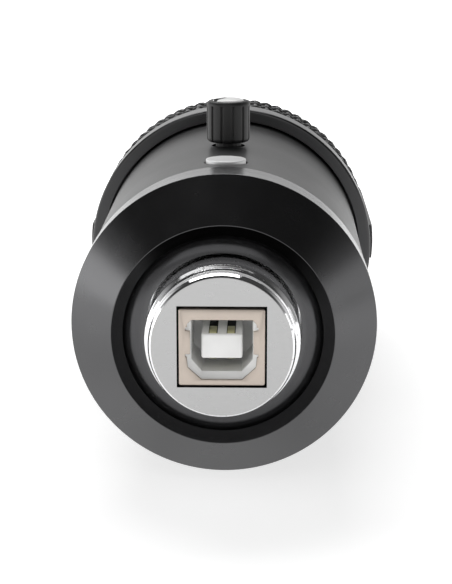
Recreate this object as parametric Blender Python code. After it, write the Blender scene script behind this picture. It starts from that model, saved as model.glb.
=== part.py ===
"""USB studio condenser microphone, lying on its side.

The body lies along Y: the connector end looks towards -Y, the grille points
towards +Y and the gain knob stands up along +Z. Distances along the body are
stations in millimetres, measured from the front edge of the base ring's side
wall (station 0) towards the grille. Heights called "up" are measured from the
body's axis.
"""
import math

import bmesh
import bpy
from mathutils import Matrix, Vector

MM = 0.001
GAP = 0.3                 # clearance kept between neighbouring pieces
ROUND_SEGMENTS = 40       # sides of the large turned pieces
SMALL_SEGMENTS = 16       # sides of screws and other small round pieces

# Driving dimensions, millimetres
CONNECTOR_FACE = -12.3    # station of the connector's end face
SHIELD_PROUD = 0.2        # how far the socket's shield stands out of that face
GRILLE_END = 118.3        # station of the grille's tip
MID_STATION = (CONNECTOR_FACE - SHIELD_PROUD + GRILLE_END) / 2
BASE_RADIUS = 22.15       # base ring's side wall
BASE_BAND = 6.4           # length of the base ring's side wall
LIP_STATION = -6.3        # front edge of the base ring's lip
LIP_RADIUS = 15.9
LIP_INNER_RADIUS = 14.25
LIP_INNER_DEPTH = 1.0     # how far the lip's inner edge lies behind its outer edge
DISH_FLOOR = -3.6         # station of the dish's bottom, at the barrel
FLOOR_BACK = 4.7
BARREL_RADIUS = 10.95
FACE_RADIUS = 9.83
BARREL_BORE = 8.9
TUBE_RADIUS = 21.9
TUBE_WALL = 1.0
TUBE_START = BASE_BAND + GAP
TUBE_END = 58.2
COLLAR_RADIUS = 24.5
COLLAR_START = 54.5
COLLAR_END = 60.0
HEAD_RADIUS = 24.4        # outside of the woven grille where it leaves the collar
HEAD_START = COLLAR_END + GAP
HEAD_WALL = 0.9
BAND_HALF_WIDTH = 3.0
BOARD_TOP = 6.7           # height of the main board's upper face
BOARD_THICK = 1.6
KNOB_STATION = 29.5
KNOB_RADIUS = 3.4
KNOB_BOTTOM = 22.4
KNOB_TOP = 28.95
SHAFT_RADIUS = 2.0
POINTER_ANGLE = 59.0      # degrees from the base end towards -X
BUTTON_STATION = 13.0
BUTTON_RADIUS = 3.0
BUTTON_TOP = 22.4
BUTTON_TRAVEL = 0.4
SIDE_SCREW_STATION = 57.0
BAR_OUTSIDE = 19.0        # chassis bars: outer face, thickness, height and foot
BAR_THICK = 3.6
BAR_HEIGHT = 9.6
BAR_FOOT = 5.4
BAR_SCREW_ACROSS = 13.0
PLUG_BACK = 17.6          # stations between which the chassis bars stand
HEAD_RING_FRONT = 52.4
NOTCH_FLOOR = 13.2        # height of the notch in the plug where the switch sits
BOARD_SCREW_STATIONS = (23.5, 46.5)
BOARD_SCREW_ACROSS = 17.0
HEAD_CORNER = 24.0        # length over which the grille rounds over to its tip
WEDGE_START = 68.0        # the grille gets thinner from here to its tip
WEDGE_END = GRILLE_END
WEDGE_DEPTH = 0.52        # its depth at the tip, as a share of its width
CAPSULE_STATION = 86.5
CAPSULE_RADIUS = 12.5
DECK_LOW, DECK_HIGH = 60.2, 61.8

AXIS_HEIGHT = COLLAR_RADIUS * math.cos(math.pi / ROUND_SEGMENTS)


# ---------------------------------------------------------------- helpers
def place(station, across=0.0, up=0.0):
    """A point in metres from its station, offset along X and height over the axis."""
    return Vector((across, station - MID_STATION, AXIS_HEIGHT + up)) * MM


def finish_material(name, color, roughness, metallic=0.0):
    """A plain Principled material."""
    material = bpy.data.materials.new(name)
    material.use_nodes = True
    shader = material.node_tree.nodes["Principled BSDF"]
    shader.inputs["Base Color"].default_value = (*color, 1.0)
    shader.inputs["Roughness"].default_value = roughness
    shader.inputs["Metallic"].default_value = metallic
    material.diffuse_color = (*color, 1.0)
    return material


def new_object(name, bm, finish, origin=None):
    """Makes a named object from a bmesh in world metres, with its origin at a point."""
    origin = origin or Vector()
    bmesh.ops.remove_doubles(bm, verts=bm.verts, dist=1e-6)
    bmesh.ops.recalc_face_normals(bm, faces=bm.faces)
    if bm.calc_volume(signed=True) < 0:
        bmesh.ops.reverse_faces(bm, faces=bm.faces)
    bmesh.ops.translate(bm, verts=bm.verts, vec=-origin)
    mesh = bpy.data.meshes.new(name)
    bm.to_mesh(mesh)
    bm.free()
    mesh.materials.append(finish_material(name, *finish))
    mesh.shade_smooth()
    mesh.set_sharp_from_angle(angle=math.radians(35))
    piece = bpy.data.objects.new(name, mesh)
    piece.location = origin
    bpy.context.collection.objects.link(piece)
    return piece


def turned(name, outline, finish, segments=ROUND_SEGMENTS, shape=None):
    """A piece turned about the body's axis. outline lists (station, radius) points.

    A closed outline makes a ring. One that starts and ends on the axis makes a
    solid. A flat of the polygon faces straight down. shape moves each vertex.
    """
    bm = bmesh.new()
    start = Matrix.Rotation(math.pi / segments, 3, "Y")
    centre = place(0)
    verts = []
    for station, radius in outline:
        offset = start @ Vector((0, 0, -radius * MM))
        verts.append(bm.verts.new(place(station) + offset))
    solid = outline[0][1] == 0.0
    pairs = zip(verts, verts[1:] if solid else verts[1:] + verts[:1])
    edges = [bm.edges.new(pair) for pair in pairs]
    bmesh.ops.spin(bm, geom=verts + edges, cent=centre, axis=(0, 1, 0), angle=math.tau,
                   steps=segments, use_merge=True)
    if shape:
        for vert in bm.verts:
            shape(vert)
    return new_object(name, bm, finish)


def upright(name, outline, finish, station, across=0.0, segments=SMALL_SEGMENTS, base=0.0, shape=None):
    """A piece turned about a vertical axis. outline lists (up, radius) points."""
    bm = bmesh.new()
    origin = place(station, across, base)
    verts = [bm.verts.new(place(station, across + radius, up)) for up, radius in outline]
    solid = outline[0][1] == 0.0
    pairs = zip(verts, verts[1:] if solid else verts[1:] + verts[:1])
    edges = [bm.edges.new(pair) for pair in pairs]
    bmesh.ops.spin(bm, geom=verts + edges, cent=origin, axis=(0, 0, 1), angle=math.tau,
                   steps=segments, use_merge=True)
    if shape:
        for vert in bm.verts:
            shape(vert, origin)
    return new_object(name, bm, finish, origin)


def block(name, size, station, finish, across=0.0, up=0.0, bevel=0.0):
    """A rectangular piece, size (across, along, up), centred at the given place."""
    bm = bmesh.new()
    bmesh.ops.create_cube(bm, size=1.0)
    bmesh.ops.scale(bm, vec=Vector(size) * MM, verts=bm.verts)
    if bevel:
        bmesh.ops.bevel(bm, geom=bm.edges[:], offset=bevel * MM, segments=1, profile=0.5,
                        affect="EDGES", clamp_overlap=True, material=-1)
    bmesh.ops.translate(bm, verts=bm.verts, vec=place(station, across, up))
    return new_object(name, bm, finish)


def prism(name, outline, extent, finish, normal):
    """An outline pushed along a direction. outline lists places in metres."""
    bm = bmesh.new()
    face = bm.faces.new([bm.verts.new(point) for point in outline])
    pushed = bmesh.ops.extrude_face_region(bm, geom=[face])["geom"]
    verts = [item for item in pushed if isinstance(item, bmesh.types.BMVert)]
    bmesh.ops.translate(bm, verts=verts, vec=Vector(normal) * extent * MM)
    return new_object(name, bm, finish)


def rod(name, start, end, radius, finish, segments=SMALL_SEGMENTS, head=None):
    """A round bar between two places, with an optional (radius, length) head at its start."""
    bm = bmesh.new()
    length = (end - start).length / MM
    outline = [(0.0, 0.0), (0.0, radius), (length, radius), (length, 0.0)]
    if head:
        head_radius, head_length = head
        outline[1:2] = [(0.0, head_radius), (head_length, head_radius), (head_length, radius)]
    verts = [bm.verts.new(Vector((distance, 0, along)) * MM) for along, distance in outline]
    edges = [bm.edges.new(pair) for pair in zip(verts, verts[1:])]
    bmesh.ops.spin(bm, geom=verts + edges, cent=(0, 0, 0), axis=(0, 0, 1), angle=math.tau,
                   steps=segments, use_merge=True)
    turn = (end - start).to_track_quat("Z", "Y").to_matrix().to_4x4()
    bmesh.ops.transform(bm, matrix=Matrix.Translation(start) @ turn, verts=bm.verts)
    return new_object(name, bm, finish)


def cord(name, points, radius, finish):
    """A thin insulated lead along a smooth curve through the given places."""
    curve = bpy.data.curves.new(name, "CURVE")
    curve.dimensions = "3D"
    curve.bevel_depth = radius * MM
    curve.bevel_resolution = 2
    curve.use_fill_caps = True
    smooth = smooth_path(points, 3)
    line = curve.splines.new("POLY")
    line.points.add(len(smooth) - 1)
    for item, point in zip(line.points, smooth):
        item.co = (*point, 1.0)
    curve.materials.append(finish_material(name, *finish))
    lead = bpy.data.objects.new(name, curve)
    bpy.context.collection.objects.link(lead)


def smooth_path(points, steps):
    """Catmull-Rom points through a short list of places."""
    ends = [points[0] * 2 - points[1], *points, points[-1] * 2 - points[-2]]
    path = []
    for a, b, c, d in zip(ends, ends[1:], ends[2:], ends[3:]):
        for step in range(steps):
            t = step / steps
            path.append(0.5 * (2 * b + (c - a) * t + (2 * a - 5 * b + 4 * c - d) * t ** 2
                               + (3 * b - a - 3 * c + d) * t ** 3))
    return path + [points[-1]]


def cut(piece, cutter, operation="DIFFERENCE"):
    """Cuts a piece with a hidden helper solid, which stays live as a modifier."""
    cutter.hide_render = True
    cutter.display_type = "WIRE"
    modifier = piece.modifiers.new(cutter.name, "BOOLEAN")
    modifier.operation = operation
    modifier.solver = "EXACT"
    modifier.object = cutter


def drill(piece, start, end, radius):
    """Drills a round hole between two places."""
    cutter = rod(f"{piece.name}_drill_{len(piece.modifiers)}", start, end, radius, PLASTIC_BLACK)
    cut(piece, cutter)


def pocket(piece, size, station, across=0.0, up=0.0):
    """Cuts a rectangular hole, size (across, along, up)."""
    cutter = block(f"{piece.name}_pocket_{len(piece.modifiers)}", size, station, PLASTIC_BLACK, across, up)
    cut(piece, cutter)


# Finishes: colour, roughness, metallic
ANODISED_BLACK = ((0.02, 0.02, 0.021), 0.36, 0.6)
SATIN_BLACK = ((0.055, 0.055, 0.057), 0.42)
CHROME = ((0.78, 0.78, 0.78), 0.12, 1.0)
NICKEL = ((0.62, 0.54, 0.50), 0.3, 1.0)
PLASTIC_WHITE = ((0.82, 0.82, 0.80), 0.4)
PLASTIC_BLACK = ((0.02, 0.02, 0.02), 0.45)
GOLD = ((0.62, 0.55, 0.32), 0.3, 1.0)
BOARD_GREEN = ((0.02, 0.12, 0.05), 0.5)
ZINC = ((0.42, 0.42, 0.42), 0.45, 1.0)
STEEL = ((0.5, 0.5, 0.5), 0.35, 1.0)
WIRE_BLACK = ((0.03, 0.03, 0.03), 0.4, 0.4)
SPUN_METAL = ((0.7, 0.7, 0.7), 0.25, 1.0)
RED_PVC = ((0.5, 0.03, 0.02), 0.5)


# ---------------------------------------------------------------- connector end
def make_base_ring():
    """Conical ring with a front lip and a shallow dish round the connector."""
    dish_steps, steepness = 3, 0.3
    mouth_station, mouth_radius = LIP_STATION + LIP_INNER_DEPTH, LIP_INNER_RADIUS
    dish_foot = 11.4
    dish = []
    for step in range(dish_steps + 1):
        share = step / dish_steps
        station = mouth_station + (DISH_FLOOR - mouth_station) * share * (1 + steepness * (1 - share))
        dish.append((station, mouth_radius + (dish_foot - mouth_radius) * share))
    edge = 0.15
    spigot_end, spigot_radius, thread_radius = 9.0, TUBE_RADIUS - TUBE_WALL - GAP, 16.6
    outline = [
        (edge, BASE_RADIUS), (BASE_BAND, BASE_RADIUS), (BASE_BAND, spigot_radius),
        (spigot_end, spigot_radius), (spigot_end, thread_radius), (FLOOR_BACK, thread_radius),
        (FLOOR_BACK, BARREL_RADIUS + GAP), (DISH_FLOOR, BARREL_RADIUS + GAP),
        *reversed(dish), (LIP_STATION, LIP_RADIUS), (-edge, BASE_RADIUS - edge),
    ]
    turned("base_ring", outline, ANODISED_BLACK)


def make_connector_barrel():
    """Chrome barrel with stepped bands, a windowed end wall and a clamping flange."""
    wall = 1.3
    flange_radius = 14.2
    outline = [
        (CONNECTOR_FACE, 4.0), (CONNECTOR_FACE, FACE_RADIUS), (CONNECTOR_FACE + 0.25, 10.1),
        (CONNECTOR_FACE + 0.75, 10.3), (CONNECTOR_FACE + 1.3, 10.3), (CONNECTOR_FACE + 1.35, 10.05),
        (CONNECTOR_FACE + 1.65, 10.05), (CONNECTOR_FACE + 1.7, 10.5), (CONNECTOR_FACE + 3.1, 10.5),
        (CONNECTOR_FACE + 3.4, BARREL_RADIUS), (FLOOR_BACK + GAP, BARREL_RADIUS),
        (FLOOR_BACK + GAP, flange_radius), (FLOOR_BACK + 2.0, flange_radius),
        (FLOOR_BACK + 2.0, BARREL_BORE), (CONNECTOR_FACE + wall, BARREL_BORE),
        (CONNECTOR_FACE + wall, 4.0),
    ]
    barrel = turned("connector_barrel", outline, CHROME)
    window_width, window_height = 12.5, 11.6
    pocket(barrel, (window_width, 4.0, window_height), CONNECTOR_FACE)


def make_usb_socket():
    """Square USB socket: nickel shield, white insert with a tongue, four contacts."""
    front = CONNECTOR_FACE - SHIELD_PROUD
    length = 16.0
    width, height, sheet, play = 12.04, 11.0, 0.35, 0.15
    middle = front + length / 2
    shield = block("usb_shield", (width, length, height), middle, NICKEL, bevel=0.3)
    inner = (width - 2 * sheet, length, height - 2 * sheet)
    pocket(shield, inner, middle + sheet)
    cut(shield, socket_opening("usb_shield_mouth", front, 2.0, 9.6, 3.9, -4.6, 1.9))

    body = (inner[0] - 2 * play, length - 2 * sheet - 2 * play, inner[2] - 2 * play)
    insert_front = front + sheet + play
    insert = block("usb_insert", body, insert_front + body[1] / 2, PLASTIC_WHITE)
    depth = 9.6
    cut(insert, socket_opening("usb_insert_cavity", insert_front, depth, 8.54, 4.1, -3.8, 1.6))
    tongue_width, tongue_height = 5.7, 3.2
    tongue_front = insert_front + 0.6
    tongue_length = insert_front + depth + 0.4 - tongue_front
    tongue = block("usb_insert_tongue", (tongue_width, tongue_length, tongue_height),
                   tongue_front + tongue_length / 2, PLASTIC_WHITE, bevel=0.25)
    cut(insert, tongue, "UNION")

    contact_width, contact_length, contact_thick = 1.0, 6.8, 0.3
    contact_up = tongue_height / 2 + contact_thick / 2 + 0.12
    number = 0
    for side in (1, -1):
        for across in (-1.25, 1.25):
            number += 1
            block(f"usb_contact_{number}", (contact_width, contact_length, contact_thick),
                  tongue_front + 4.4, GOLD, across, side * contact_up)
    board_front, board_radius, board_thick = front + length + GAP, 8.4, 1.2
    turned("usb_board", [(board_front, 0.0), (board_front, board_radius),
                         (board_front + board_thick, board_radius), (board_front + board_thick, 0.0)],
           BOARD_GREEN, 24)
    route = [(board_front + board_thick + GAP, -2.0), (9.0, -2.4), (13.0, -3.2), (17.0, -2.0),
             (20.0, 1.6), (21.2, 3.4)]
    lead_radius = 1.1
    cord("usb_lead", [place(station, 0, up) for station, up in route], lead_radius, PLASTIC_BLACK)


def socket_opening(name, front, depth, width, top, bottom, chamfer):
    """Cutter with the socket's outline: square above, chamfered corners below."""
    right = width / 2
    corners = [(-right, top), (right, top), (right, bottom + chamfer), (right - chamfer, bottom),
               (chamfer - right, bottom), (-right, bottom + chamfer)]
    start = front - 0.5
    outline = [place(start, across, up) for across, up in corners]
    return prism(name, outline, depth + 0.5, PLASTIC_BLACK, (0, 1, 0))


# ---------------------------------------------------------------- body
def make_body_tube():
    """Body tube with holes for the knob's shaft, the button and two side screws."""
    inner = TUBE_RADIUS - TUBE_WALL
    tube = turned("body_tube", [(TUBE_START, TUBE_RADIUS), (TUBE_END, TUBE_RADIUS),
                                (TUBE_END, inner), (TUBE_START, inner)], SATIN_BLACK)
    drill(tube, place(KNOB_STATION, 0, 15), place(KNOB_STATION, 0, 26), SHAFT_RADIUS + 0.6)
    drill(tube, place(BUTTON_STATION, 0, 15), place(BUTTON_STATION, 0, 26), BUTTON_RADIUS + 0.25)
    drill_sides(tube, 1.4)


def drill_sides(piece, radius):
    """The two holes that the grille's side screws pass through."""
    for side in (-1, 1):
        drill(piece, place(SIDE_SCREW_STATION, side * 12), place(SIDE_SCREW_STATION, side * 28), radius)


def make_collar():
    """Collar ring between the tube and the grille, with its two side screws."""
    inner = TUBE_RADIUS + GAP
    edge = 0.4
    collar = turned("collar_ring", [
        (COLLAR_START, COLLAR_RADIUS - edge), (COLLAR_START + edge, COLLAR_RADIUS),
        (COLLAR_END - edge, COLLAR_RADIUS), (COLLAR_END, COLLAR_RADIUS - edge),
        (COLLAR_END, inner), (COLLAR_START, inner)], ANODISED_BLACK)
    drill_sides(collar, 1.8)
    for side, label in ((-1, "left"), (1, "right")):
        outside = place(SIDE_SCREW_STATION, side * (COLLAR_RADIUS - 0.35))
        inside = place(SIDE_SCREW_STATION, side * 19.4)
        rod(f"side_screw_{label}", outside, inside, 1.0, STEEL, 12, head=(1.5, 1.1))


def make_chassis():
    """End plug, two side bars and the ring that carries the grille."""
    plug_front, flange_front, boss_radius, flange_radius, bore = 7.0, 9.6, 16.3, 20.5, 9.5
    plug = turned("chassis_plug", [
        (plug_front, boss_radius), (flange_front, boss_radius), (flange_front, flange_radius),
        (PLUG_BACK, flange_radius), (PLUG_BACK, bore), (plug_front, bore)], ZINC, 32)
    notch_width, notch_height, notch_length = 10.6, 8.0, PLUG_BACK - flange_front + 1.0
    pocket(plug, (notch_width, notch_length, notch_height), flange_front + notch_length / 2 - 0.5,
           up=NOTCH_FLOOR + notch_height / 2)
    sleeve_radius, sleeve_end, sleeve_inner = TUBE_RADIUS - TUBE_WALL - GAP, 58.5, 19.0
    neck_radius, seat_radius, seat_end, seat_inner, floor_back, hole = 21.9, 22.8, 66.0, 20.8, 54.0, 13.0
    seat_front = DECK_LOW - GAP
    head_ring = turned("head_ring", [
        (HEAD_RING_FRONT, sleeve_radius), (sleeve_end, sleeve_radius), (sleeve_end, neck_radius),
        (HEAD_START, neck_radius), (HEAD_START, seat_radius), (seat_end, seat_radius),
        (seat_end, seat_inner), (seat_front, seat_inner), (seat_front, sleeve_inner),
        (floor_back, sleeve_inner), (floor_back, hole), (HEAD_RING_FRONT, hole)], ZINC, 32)
    drill_sides(head_ring, 1.4)
    for side, label in ((-1, "left"), (1, "right")):
        make_chassis_bar(side, label, plug, head_ring)


def make_chassis_bar(side, label, plug, head_ring):
    """A side bar with a foot at both ends, screwed to the plug and to the ring."""
    outer, inner = side * BAR_OUTSIDE, side * (BAR_OUTSIDE - BAR_THICK)
    toe = side * (BAR_OUTSIDE - BAR_THICK - BAR_FOOT)
    start, end = PLUG_BACK + GAP, HEAD_RING_FRONT - GAP
    corners = [(outer, start), (outer, end), (toe, end), (toe, end - BAR_THICK), (inner, end - BAR_THICK),
               (inner, start + BAR_THICK), (toe, start + BAR_THICK), (toe, start)]
    outline = [place(station, across, -BAR_HEIGHT / 2) for across, station in corners]
    bar = prism(f"chassis_bar_{label}", outline, BAR_HEIGHT, ZINC, (0, 0, 1))
    across = side * BAR_SCREW_ACROSS
    head_radius, head_length, shank, reach, clearance_hole, play = 1.9, 1.1, 0.9, 4.0, 1.2, 0.15
    for end_name, where, into, target in (("base", start + BAR_THICK, -1, plug),
                                          ("head", end - BAR_THICK, 1, head_ring)):
        seat = where - into * (head_length + play)
        drill(bar, place(where - into * 2, across), place(where + into * 4, across), clearance_hole)
        drill(target, place(where, across), place(where + into * 5.5, across), clearance_hole)
        rod(f"chassis_screw_{end_name}_{label}", place(seat, across),
            place(seat + into * (head_length + reach), across), shank, STEEL, 12,
            head=(head_radius, head_length))
    thread_hole = 0.85
    for station in BOARD_SCREW_STATIONS:
        across = side * BOARD_SCREW_ACROSS
        drill(bar, place(station, across, 1.5), place(station, across, 6.5), thread_hole)


def make_main_board():
    """Main circuit board on the side bars, with its parts."""
    board = block("main_board", (36.4, 30.6, BOARD_THICK), 35.0, BOARD_GREEN,
                  up=BOARD_TOP - BOARD_THICK / 2)
    pocket(board, (40.0, 3.0, 4.0), 18.0, up=BOARD_TOP)
    number = 0
    for station in BOARD_SCREW_STATIONS:
        for side in (-1, 1):
            number += 1
            across = side * BOARD_SCREW_ACROSS
            drill(board, place(station, across, 3.0), place(station, across, 9.0), 0.95)
            rod(f"board_screw_{number}", place(station, across, BOARD_TOP + 1.0),
                place(station, across, 2.2), 0.65, STEEL, 12, head=(1.2, 0.8))
    rest = BOARD_TOP + 0.15
    block("codec_chip", (7.0, 7.0, 1.0), 41.5, PLASTIC_BLACK, across=6.5, up=rest + 0.5)
    block("preamp_chip", (5.0, 4.0, 1.4), 41.5, PLASTIC_BLACK, across=-6.5, up=rest + 0.7)
    block("clock_crystal", (4.6, 10.5, 3.4), 31.0, NICKEL, across=11.0, up=rest + 1.7, bevel=0.5)
    under = BOARD_TOP - BOARD_THICK - 0.15
    for index, across in enumerate((-7.5, 7.5)):
        upright(f"capacitor_{index + 1}", [(under, 0.0), (under, 3.15), (under - 7.0, 3.15), (under - 7.0, 0.0)],
                STEEL, 38.0, across)


# ---------------------------------------------------------------- controls
def make_knob():
    """Rotary gain control: body and bushing that stay, shaft and knob that turn."""
    rest = BOARD_TOP + 0.15
    block("control_body", (9.8, 10.6, 7.2), KNOB_STATION, PLASTIC_BLACK, up=rest + 3.6, bevel=0.3)
    low, high = rest + 7.5, TUBE_RADIUS - TUBE_WALL - 0.9
    bore = SHAFT_RADIUS + 0.3
    upright("control_bushing", [(low, 3.4), (high, 3.4), (high, bore), (low, bore)], ZINC, KNOB_STATION)
    shaft_top = 27.4
    upright("control_shaft", [(low, 0.0), (low, SHAFT_RADIUS), (shaft_top - 0.4, SHAFT_RADIUS),
                              (shaft_top, SHAFT_RADIUS - 0.4), (shaft_top, 0.0)],
            STEEL, KNOB_STATION, base=KNOB_BOTTOM)
    make_knob_body(bore, shaft_top + GAP)
    cap_radius, seat, rise = 2.45, KNOB_TOP - 0.45, 0.4
    dome = []
    for step in range(4):
        turn = step / 4 * math.pi / 2
        dome.append((KNOB_TOP + rise * math.sin(turn), cap_radius * math.cos(turn)))
    cap = upright("knob_cap", [(seat, 0.0), (seat, cap_radius), *dome, (KNOB_TOP + rise, 0.0)],
                  PLASTIC_WHITE, KNOB_STATION, segments=24, base=KNOB_BOTTOM)
    add_pointer(cap, cap_radius, seat, rise)


def make_knob_body(bore, bore_top):
    """Fluted knob with a rounded shoulder, a recess for its cap and a blind bore."""
    flutes, per_flute = 12, 3
    flute_low, flute_high = KNOB_BOTTOM + 0.2, KNOB_TOP - 1.2
    recess_radius, recess_floor = 2.7, KNOB_TOP - 0.7
    outline = [
        (KNOB_BOTTOM, bore), (KNOB_BOTTOM, KNOB_RADIUS - 0.5), (KNOB_BOTTOM + 0.5, KNOB_RADIUS),
        (flute_high, KNOB_RADIUS), (KNOB_TOP - 0.6, KNOB_RADIUS - 0.12), (KNOB_TOP - 0.15, KNOB_RADIUS - 0.4),
        (KNOB_TOP, recess_radius + 0.1), (KNOB_TOP - 0.1, recess_radius), (recess_floor, recess_radius),
        (recess_floor, 0.0),
    ]
    outline = [(bore_top, 0.0), (bore_top, bore)] + outline

    def flute(vert, origin):
        offset = vert.co - origin
        distance = math.hypot(offset.x, offset.y) / MM
        height = (vert.co.z - place(0).z) / MM
        sector = round(math.atan2(offset.y, offset.x) / math.tau * flutes * per_flute)
        if distance > KNOB_RADIUS - 0.05 and flute_low < height <= flute_high + 0.01 and sector % per_flute == 0:
            vert.co.x = origin.x + offset.x * (1 - 0.25 / KNOB_RADIUS)
            vert.co.y = origin.y + offset.y * (1 - 0.25 / KNOB_RADIUS)

    upright("knob_body", outline, PLASTIC_BLACK, KNOB_STATION, segments=flutes * per_flute,
            base=KNOB_BOTTOM, shape=flute)


def add_pointer(cap, cap_radius, seat, rise):
    """Black pointer bar in a groove across one side of the cap."""
    angle = math.radians(-90 - POINTER_ANGLE)
    direction = Vector((math.cos(angle), math.sin(angle), 0))
    inner, outer = 0.5, cap_radius + 0.5
    groove_floor = KNOB_TOP - 0.2
    for name, half_width, start, end, low, high in (
            ("knob_cap_groove", 0.42, inner, outer, groove_floor, KNOB_TOP + 1.0),
            ("knob_pointer", 0.3, inner + 0.12, cap_radius - 0.05, groove_floor + 0.12, KNOB_TOP + 0.2)):
        sideways = Vector((-direction.y, direction.x, 0)) * half_width * MM
        foot = place(KNOB_STATION, 0, low)
        corners = [foot + direction * start * MM - sideways, foot + direction * end * MM - sideways,
                   foot + direction * end * MM + sideways, foot + direction * start * MM + sideways]
        bar = prism(name, corners, high - low, PLASTIC_BLACK, (0, 0, 1))
        if name == "knob_cap_groove":
            cut(cap, bar)
        else:
            set_origin(bar, place(KNOB_STATION, 0, KNOB_BOTTOM))


def set_origin(piece, origin):
    """Moves an object's origin without moving its surface."""
    piece.data.transform(Matrix.Translation(piece.location - origin))
    piece.location = origin


def make_button():
    """Spun metal push button over a small switch."""
    flange_top, flange_bottom = 20.15, 19.2
    dish = 0.12
    upright("button_cap", [
        (flange_bottom, 0.0), (flange_bottom, 3.6), (flange_top, 3.6), (flange_top, BUTTON_RADIUS),
        (BUTTON_TOP - 0.12, BUTTON_RADIUS), (BUTTON_TOP, BUTTON_RADIUS - 0.12),
        (BUTTON_TOP - dish, 0.0)], SPUN_METAL, BUTTON_STATION, segments=24, base=BUTTON_TOP)
    riser_top = NOTCH_FLOOR + GAP + 1.0
    block("switch_board", (9.4, 6.6, 1.0), BUTTON_STATION + 0.2, BOARD_GREEN, up=riser_top - 0.5)
    housing_low = riser_top + 0.15
    housing_high = housing_low + 2.8
    block("switch_housing", (6.0, 6.0, 2.8), BUTTON_STATION, PLASTIC_BLACK,
          up=(housing_low + housing_high) / 2)
    plunger_low = housing_high + BUTTON_TRAVEL + 0.15
    plunger_high = flange_bottom - 0.15
    upright("switch_plunger", [(plunger_low, 0.0), (plunger_low, 1.6), (plunger_high, 1.6), (plunger_high, 0.0)],
            PLASTIC_BLACK, BUTTON_STATION, base=BUTTON_TOP)


# ---------------------------------------------------------------- grille and capsule
def wedge(vert):
    """Flattens the turned grille towards its tip, front to back."""
    station = vert.co.y / MM + MID_STATION
    share = min(max((station - WEDGE_START) / (WEDGE_END - WEDGE_START), 0.0), 1.0)
    narrow = 1.0 - (1.0 - WEDGE_DEPTH) * share ** 1.3
    axis_z = place(0).z
    vert.co.z = axis_z + (vert.co.z - axis_z) * narrow


def dome(radius, start, tip, corner, steps):
    """Outline of a straight wall that rounds over to the tip: (station, radius) points."""
    points = [(start, radius)]
    for extra in (WEDGE_START, (WEDGE_START + tip - corner) / 2):
        points.append((extra, radius))
    for step in range(steps):
        turn = step / steps * math.pi / 2
        points.append((tip - corner + corner * math.sin(turn), radius * math.cos(turn) ** 0.62))
    return points + [(tip, 0.0)]


def make_grille():
    """Two woven half shells, the band between them and a fine liner."""
    corner, steps, half = HEAD_CORNER, 7, 30.0
    shell_tip = GRILLE_END - 0.3
    shell = dome(HEAD_RADIUS, HEAD_START, shell_tip, corner, steps)
    lining = dome(HEAD_RADIUS - HEAD_WALL, HEAD_START, shell_tip - HEAD_WALL, corner - HEAD_WALL, steps)
    for side, label in ((1, "front"), (-1, "back")):
        grille = turned(f"grille_{label}", list(reversed(lining)) + shell, WIRE_BLACK, shape=wedge)
        keep = block(f"grille_{label}_keep", (80, 80, half), 90.0, PLASTIC_BLACK,
                     up=side * (half / 2 + BAND_HALF_WIDTH + 0.15))
        cut(grille, keep, "INTERSECT")
    proud = 0.1
    inside_tip = GRILLE_END - 1.2
    outside = dome(HEAD_RADIUS + proud, HEAD_START, GRILLE_END, corner + 0.3, steps)
    inside = dome(HEAD_RADIUS - HEAD_WALL, HEAD_START, inside_tip, corner - HEAD_WALL, steps)
    band = turned("grille_band", list(reversed(inside)) + outside, ANODISED_BLACK, shape=wedge)
    cut(band, block("grille_band_keep", (80, 80, 2 * BAND_HALF_WIDTH - 0.15), 90.0, PLASTIC_BLACK), "INTERSECT")
    liner_wall, liner_gap = 0.6, 0.35
    liner_start = 66.3
    outer = HEAD_RADIUS - HEAD_WALL - liner_gap
    liner_tip = inside_tip - liner_gap
    outer_line = dome(outer, liner_start, liner_tip, corner - 1.6, 6)
    inner_line = dome(outer - liner_wall, liner_start, liner_tip - liner_wall, corner - 2.2, 6)
    turned("grille_liner", list(reversed(inner_line)) + outer_line, PLASTIC_BLACK, 32, shape=wedge)


def make_capsule():
    """Deck, saddle and the large condenser capsule that faces the front."""
    deck_radius = 20.4
    deck = turned("capsule_deck", [(DECK_LOW, 0.0), (DECK_LOW, deck_radius), (DECK_HIGH, deck_radius),
                                   (DECK_HIGH, 0.0)], BOARD_GREEN, 32)
    pocket(deck, (12.0, 6.0, 5.0), (DECK_LOW + DECK_HIGH) / 2, up=-7.5)
    half_depth, shell_bore, disc_radius = 4.0, 10.9, 10.6
    foot_top = CAPSULE_STATION - CAPSULE_RADIUS - GAP
    block("capsule_saddle", (8.0, foot_top - DECK_HIGH - GAP, 6.5), (foot_top + DECK_HIGH + GAP) / 2,
          PLASTIC_BLACK, bevel=0.5)
    upright("capsule_shell", [(half_depth, CAPSULE_RADIUS), (-half_depth, CAPSULE_RADIUS),
                              (-half_depth, shell_bore), (half_depth, shell_bore)],
            GOLD, CAPSULE_STATION, segments=32)
    for name, low, high, finish in (("capsule_backplate", -3.4, 2.0, NICKEL),
                                    ("capsule_diaphragm", 2.3, 2.6, GOLD)):
        upright(name, [(high, 0.0), (high, disc_radius), (low, disc_radius), (low, 0.0)], finish,
                CAPSULE_STATION, segments=24)
    route = [(75.0, -5.2), (70.0, -7.0), (63.0, -7.0), (57.0, -6.6), (53.5, -4.0), (51.3, -0.5),
             (49.0, 2.6), (48.3, 4.2)]
    lead_radius = 0.5
    for across, label, finish in ((-3.0, "red", RED_PVC), (3.0, "black", PLASTIC_BLACK)):
        points = [place(station, across, up) for station, up in route]
        cord(f"capsule_lead_{label}", points, lead_radius, finish)


def main():
    """Clears the scene and makes every piece."""
    for item in list(bpy.data.objects):
        bpy.data.objects.remove(item, do_unlink=True)
    make_base_ring()
    make_connector_barrel()
    make_usb_socket()
    make_body_tube()
    make_collar()
    make_chassis()
    make_main_board()
    make_knob()
    make_button()
    make_grille()
    make_capsule()


main()
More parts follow.
